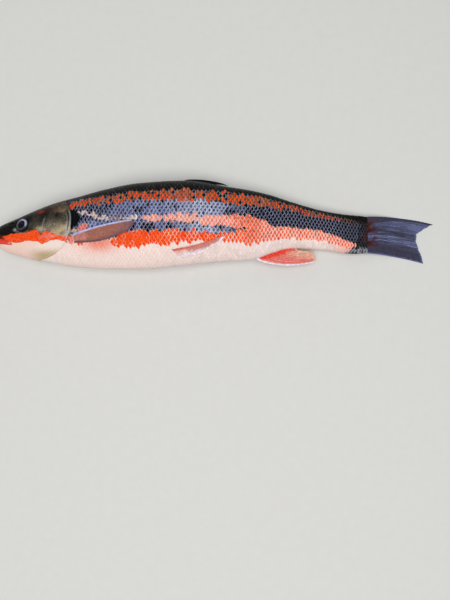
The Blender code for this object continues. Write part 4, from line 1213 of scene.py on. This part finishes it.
def make_stage(context):
    """A pale floor, a wide and a small lamp, even light from all round, and the camera overhead."""
    scene, stage = context.scene, context.scene.dace_stage
    # the floor lies a hair under the fish, so that no two faces share a plane
    square = np.array(((0.0, 0.0), (1.0, 0.0), (1.0, 1.0), (0.0, 1.0)))
    corners = np.column_stack(((square - 0.5) * stage.floor_size, np.full(4, -0.02 * MM)))
    new_piece("floor", corners, (np.array(((0, 1, 2, 3),)),), (square,), {},
                       floor_material(stage.floor_colour))
    world = scene.world = bpy.data.worlds.new("studio")
    world.use_nodes = True
    fill(world.node_tree, world.node_tree.nodes["Background"],
         {"Color": stage.sky_colour, "Strength": stage.sky_strength})
    for name, spot, size, power in (("soft_box", (0.0, -0.3, 1.3), 1.2, stage.soft_power),
                                    ("key_lamp", (-0.3, 0.6, 0.6), 0.25, stage.key_power)):
        data = bpy.data.lights.new(name, "AREA")
        data.shape, data.size, data.energy = "SQUARE", size, power
        lamp = bpy.data.objects.new(name, data)
        lamp.location, lamp.rotation_mode = spot, "QUATERNION"
        lamp.rotation_quaternion = (Vector() - Vector(spot)).to_track_quat("-Z", "Y")
        lamp.visible_glossy = name == "key_lamp"
        scene.collection.objects.link(lamp)
    data = bpy.data.cameras.new("camera")
    data.lens, data.sensor_width, data.sensor_fit = stage.lens, 36.0, "AUTO"
    data.clip_start, data.clip_end = 0.01, 20.0
    scene.camera = bpy.data.objects.new("camera", data)
    scene.camera.location = (OFFSET[0] + stage.camera_x, OFFSET[1] + stage.camera_y, stage.camera_height)
    scene.collection.objects.link(scene.camera)
    scene.view_settings.view_transform = "Standard"


# ---------------------------------------------------------------- settings

def tint(name, description, code):
    """A colour setting from an sRGB hex code."""
    return FloatVectorProperty(name=name, description=description, subtype="COLOR", size=3, min=0.0, max=1.0,
                               default=linear(code))


def span(name, description, default):
    """A length setting in metres."""
    return FloatProperty(name=name, description=description, default=default, unit="LENGTH", precision=5)


class DaceSizes(bpy.types.PropertyGroup):
    """Sizes of the skin and the scales"""
    coat_depth: span("Coat depth", "How far the skin lies below the scales' outer faces", 0.5 * MM)
    scale_thickness: span("Scale thickness", "Thickness of one scale", 0.1 * MM)
    patch: FloatProperty(name="Patch", description="Width of one scale on the unwrap", default=0.003)
    head_columns: IntProperty(name="Head columns", description="Rings of the skin from snout to gill cover",
                              default=250)
    trunk_columns: IntProperty(name="Trunk columns", description="Rings of the skin behind the gill cover",
                               default=48)
    skin_rows: IntProperty(name="Skin rows", description="Rows of the skin from back to belly", default=150)
    seed: IntProperty(name="Seed", description="Start of the random draws for the scales", default=7)


class DaceColours(bpy.types.PropertyGroup):
    """Pigments of the skin, the scales, the fins and the eyes"""
    back_dark: tint("Back, dark", "Darkest green-black of the back", "#070907")
    back_light: tint("Back, light", "Lighter olive of the back and the head's top", "#1B1C18")
    cream: tint("Cream", "Throat, belly and the pale front of the middle stripe", "#F8E3DA")
    pink: tint("Pink", "Flush of the belly and of the rear stripes", "#F39A80")
    # the slate's blue-grey is partly the dark band's own colour and partly a painted sheen of the sky
    slate: tint("Slate", "Blue-grey band of the flank", "#6A7092")
    # jet also paints the shade on the front of every scale
    jet: tint("Jet", "Black scale middles of the bands", "#060910")
    vermilion_deep: tint("Vermilion, deep", "Deep breeding orange", "#EF3606")
    vermilion_light: tint("Vermilion, light", "Lighter breeding orange", "#FA641E")
    salmon: tint("Salmon", "Pinker orange of the middle stripe", "#F0A096")
    gold_dark: tint("Olive gold, dark", "Darker flecks of the gill cover", "#4A4436")
    gold: tint("Olive gold", "Lower gill cover and the patch behind the eye", "#A39680")
    tan: tint("Tan", "Rear of the throat and lower rear of the gill cover", "#C2AA84")
    scarlet: tint("Scarlet", "Lips", "#E8463C")
    maroon: tint("Maroon", "Nape, snout and the tail fin's base", "#4A1A12")
    pale: tint("Silver", "Bare bone edges of the gill cover and the cheek", "#B4B8BE")
    soot: tint("Soot", "Black mottling of the gill cover and the patch behind it", "#06080C")
    net_grey: tint("Net, grey", "Rear rims of the tail's scales", "#80839A")
    # the front bands' lavender rims are partly a painted reflection of the sky, and the back's olive rims are
    # painted glints
    net_lavender: tint("Net, lavender", "Rear rims of the scales of the front bands", "#B0B2D2")
    net_olive: tint("Net, olive", "Rear rims of the back's scales", "#5E5D55")
    net_cream: tint("Net, cream", "Rear rims of the orange and the belly scales", "#F9CDBB")
    # the upper iris's silver is partly a painted reflection of the light above, the lower iris's brown partly
    # painted shade, and the pupil's blue partly a painted reflection
    iris_silver: tint("Iris, silver", "Upper iris", "#CDCDE8")
    iris_shadow: tint("Iris, shadow", "Dark flecks of the upper iris", "#62627C")
    iris_brown: tint("Iris, brown", "Lower iris", "#564C44")
    iris_dark: tint("Iris, dark", "Rim of the iris and its lower shade", "#121316")
    iris_ring: tint("Pupil ring", "Thin ring round the pupil", "#5E5A6C")
    pupil: tint("Pupil", "Blue-black of the lens", "#040818")
    pectoral: tint("Pectoral membrane", "Brown of the pectoral fins", "#985A49")
    pectoral_ray: tint("Pectoral rays", "Lighter rays of the pectoral fins", "#C28A78")
    pectoral_base: tint("Pectoral base", "Root of the pectoral fins", "#D08C80")
    # the pectoral fins' front edge is partly a painted bluish highlight
    fin_lead_and_highlight: tint("Leading edge", "Bluish front edge of the pectoral fins", "#BAC0E8")
    fin_trail: tint("Trailing edge", "Dark margin and tip of the pectoral fins", "#74525A")
    pelvic: tint("Pelvic membrane", "Rosy membrane of the pelvic fins", "#CC8276")
    pelvic_ray: tint("Pelvic rays", "Paler rays of the pelvic fins", "#D29A8C")
    pelvic_base: tint("Pelvic base", "Pink root of the pelvic fins", "#EFC3B6")
    pelvic_lead: tint("Pelvic front", "Red first ray of the pelvic fins", "#D97264")
    pelvic_edge: tint("Pale edge", "Whitish margins of the pelvic and the anal fin", "#F4E4EA")
    anal: tint("Anal membrane", "Pink-red membrane of the anal fin", "#DE6A62")
    anal_ray: tint("Anal rays", "Pale rays of the anal fin", "#EE9A8C")
    anal_base: tint("Anal base", "Red root of the anal fin", "#E6432F")
    anal_edge: tint("Anal margin", "Yellowish rear margin of the anal fin", "#E2BC9E")
    dorsal: tint("Dorsal membrane", "Green-black of the folded dorsal fin", "#0A0F0D")
    dorsal_ray: tint("Dorsal rays", "Faintly lighter rays of the dorsal fin", "#232A26")
    caudal: tint("Caudal membrane", "Dark membrane of the tail fin", "#3C3A4C")
    # the tail fin's lavender rays are partly painted highlights
    caudal_ray: tint("Caudal rays", "Lavender rays of the tail fin", "#98A4DC")
    caudal_base: tint("Caudal base", "Red-brown root of the tail fin", "#4E2016")
    caudal_edge: tint("Caudal margin", "Bluish margin of the tail fin", "#5A648E")


class DaceStage(bpy.types.PropertyGroup):
    """Floor, lamps and camera"""
    floor_size: span("Floor size", "Side of the square floor", 6.0)
    floor_colour: tint("Floor colour", "Pale matt card", "#DAD9D5")
    sky_colour: tint("Sky colour", "Even light from all round", "#EEF2F8")
    sky_strength: FloatProperty(name="Sky strength", description="Brightness of the even light", default=0.22)
    soft_power: FloatProperty(name="Soft box power", description="Power of the wide lamp overhead",
                              default=17.5, unit="POWER")
    key_power: FloatProperty(name="Key power", description="Power of the small lamp that makes the glints",
                             default=0.35, unit="POWER")
    lens: FloatProperty(name="Lens", description="Focal length for a 36 mm long side", default=27.0,
                        unit="CAMERA")
    camera_x: span("Camera x", "Camera's distance from the snout along the fish", 163.1 * MM)
    camera_y: span("Camera y", "Camera's distance from the body axis, belly side negative", -44.8 * MM)
    camera_height: span("Camera height", "Camera's height over the floor", 330.0 * MM)


# ---------------------------------------------------------------- operators and panel

class DACE_OT_skin(bpy.types.Operator):
    """Builds the one skin of the head, trunk and tail"""
    bl_idname = "dace.skin"
    bl_label = "Skin"

    def execute(self, context):
        make_skin(context)
        return {"FINISHED"}


class DACE_OT_scales(bpy.types.Operator):
    """Lays the scales over the trunk and the tail"""
    bl_idname = "dace.scales"
    bl_label = "Scales"

    def execute(self, context):
        make_scales(context)
        return {"FINISHED"}


class DACE_OT_eyes(bpy.types.Operator):
    """Builds both eyes"""
    bl_idname = "dace.eyes"
    bl_label = "Eyes"

    def execute(self, context):
        make_eyes(context)
        return {"FINISHED"}


class DACE_OT_paired_fins(bpy.types.Operator):
    """Builds the pectoral and the pelvic fins"""
    bl_idname = "dace.paired_fins"
    bl_label = "Paired fins"

    def execute(self, context):
        make_paired_fins(context)
        return {"FINISHED"}


class DACE_OT_median_fins(bpy.types.Operator):
    """Builds the dorsal, the anal and the tail fin"""
    bl_idname = "dace.median_fins"
    bl_label = "Dorsal, anal and tail fins"

    def execute(self, context):
        make_median_fins(context)
        return {"FINISHED"}


class DACE_OT_stage(bpy.types.Operator):
    """Sets the floor, the lamps and the camera"""
    bl_idname = "dace.stage"
    bl_label = "Stage"

    def execute(self, context):
        make_stage(context)
        return {"FINISHED"}


class DACE_PT_panel(bpy.types.Panel):
    """Lists the fish's settings and the steps that build it"""
    bl_idname = "DACE_PT_panel"
    bl_label = "Japanese dace"
    bl_space_type = "VIEW_3D"
    bl_region_type = "UI"
    bl_category = "Dace"

    def draw(self, context):
        for operator in OPERATORS:
            self.layout.operator(operator.bl_idname)
        for group in (context.scene.dace_sizes, context.scene.dace_colours, context.scene.dace_stage):
            box = self.layout.box()
            for key in group.__annotations__:
                box.prop(group, key)


OPERATORS = (DACE_OT_stage, DACE_OT_skin, DACE_OT_scales, DACE_OT_eyes, DACE_OT_paired_fins,
             DACE_OT_median_fins)
CLASSES = (DaceSizes, DaceColours, DaceStage, *OPERATORS, DACE_PT_panel)


def register():
    for cls in CLASSES:
        bpy.utils.register_class(cls)
    bpy.types.Scene.dace_sizes = PointerProperty(type=DaceSizes)
    bpy.types.Scene.dace_colours = PointerProperty(type=DaceColours)
    bpy.types.Scene.dace_stage = PointerProperty(type=DaceStage)


def unregister():
    del bpy.types.Scene.dace_sizes, bpy.types.Scene.dace_colours, bpy.types.Scene.dace_stage
    for cls in reversed(CLASSES):
        bpy.utils.unregister_class(cls)


def main():
    """Builds the fish on its stage."""
    register()
    bpy.ops.dace.stage()
    bpy.ops.dace.skin()
    bpy.ops.dace.scales()
    bpy.ops.dace.eyes()
    bpy.ops.dace.paired_fins()
    bpy.ops.dace.median_fins()


if __name__ == "__main__":
    main()
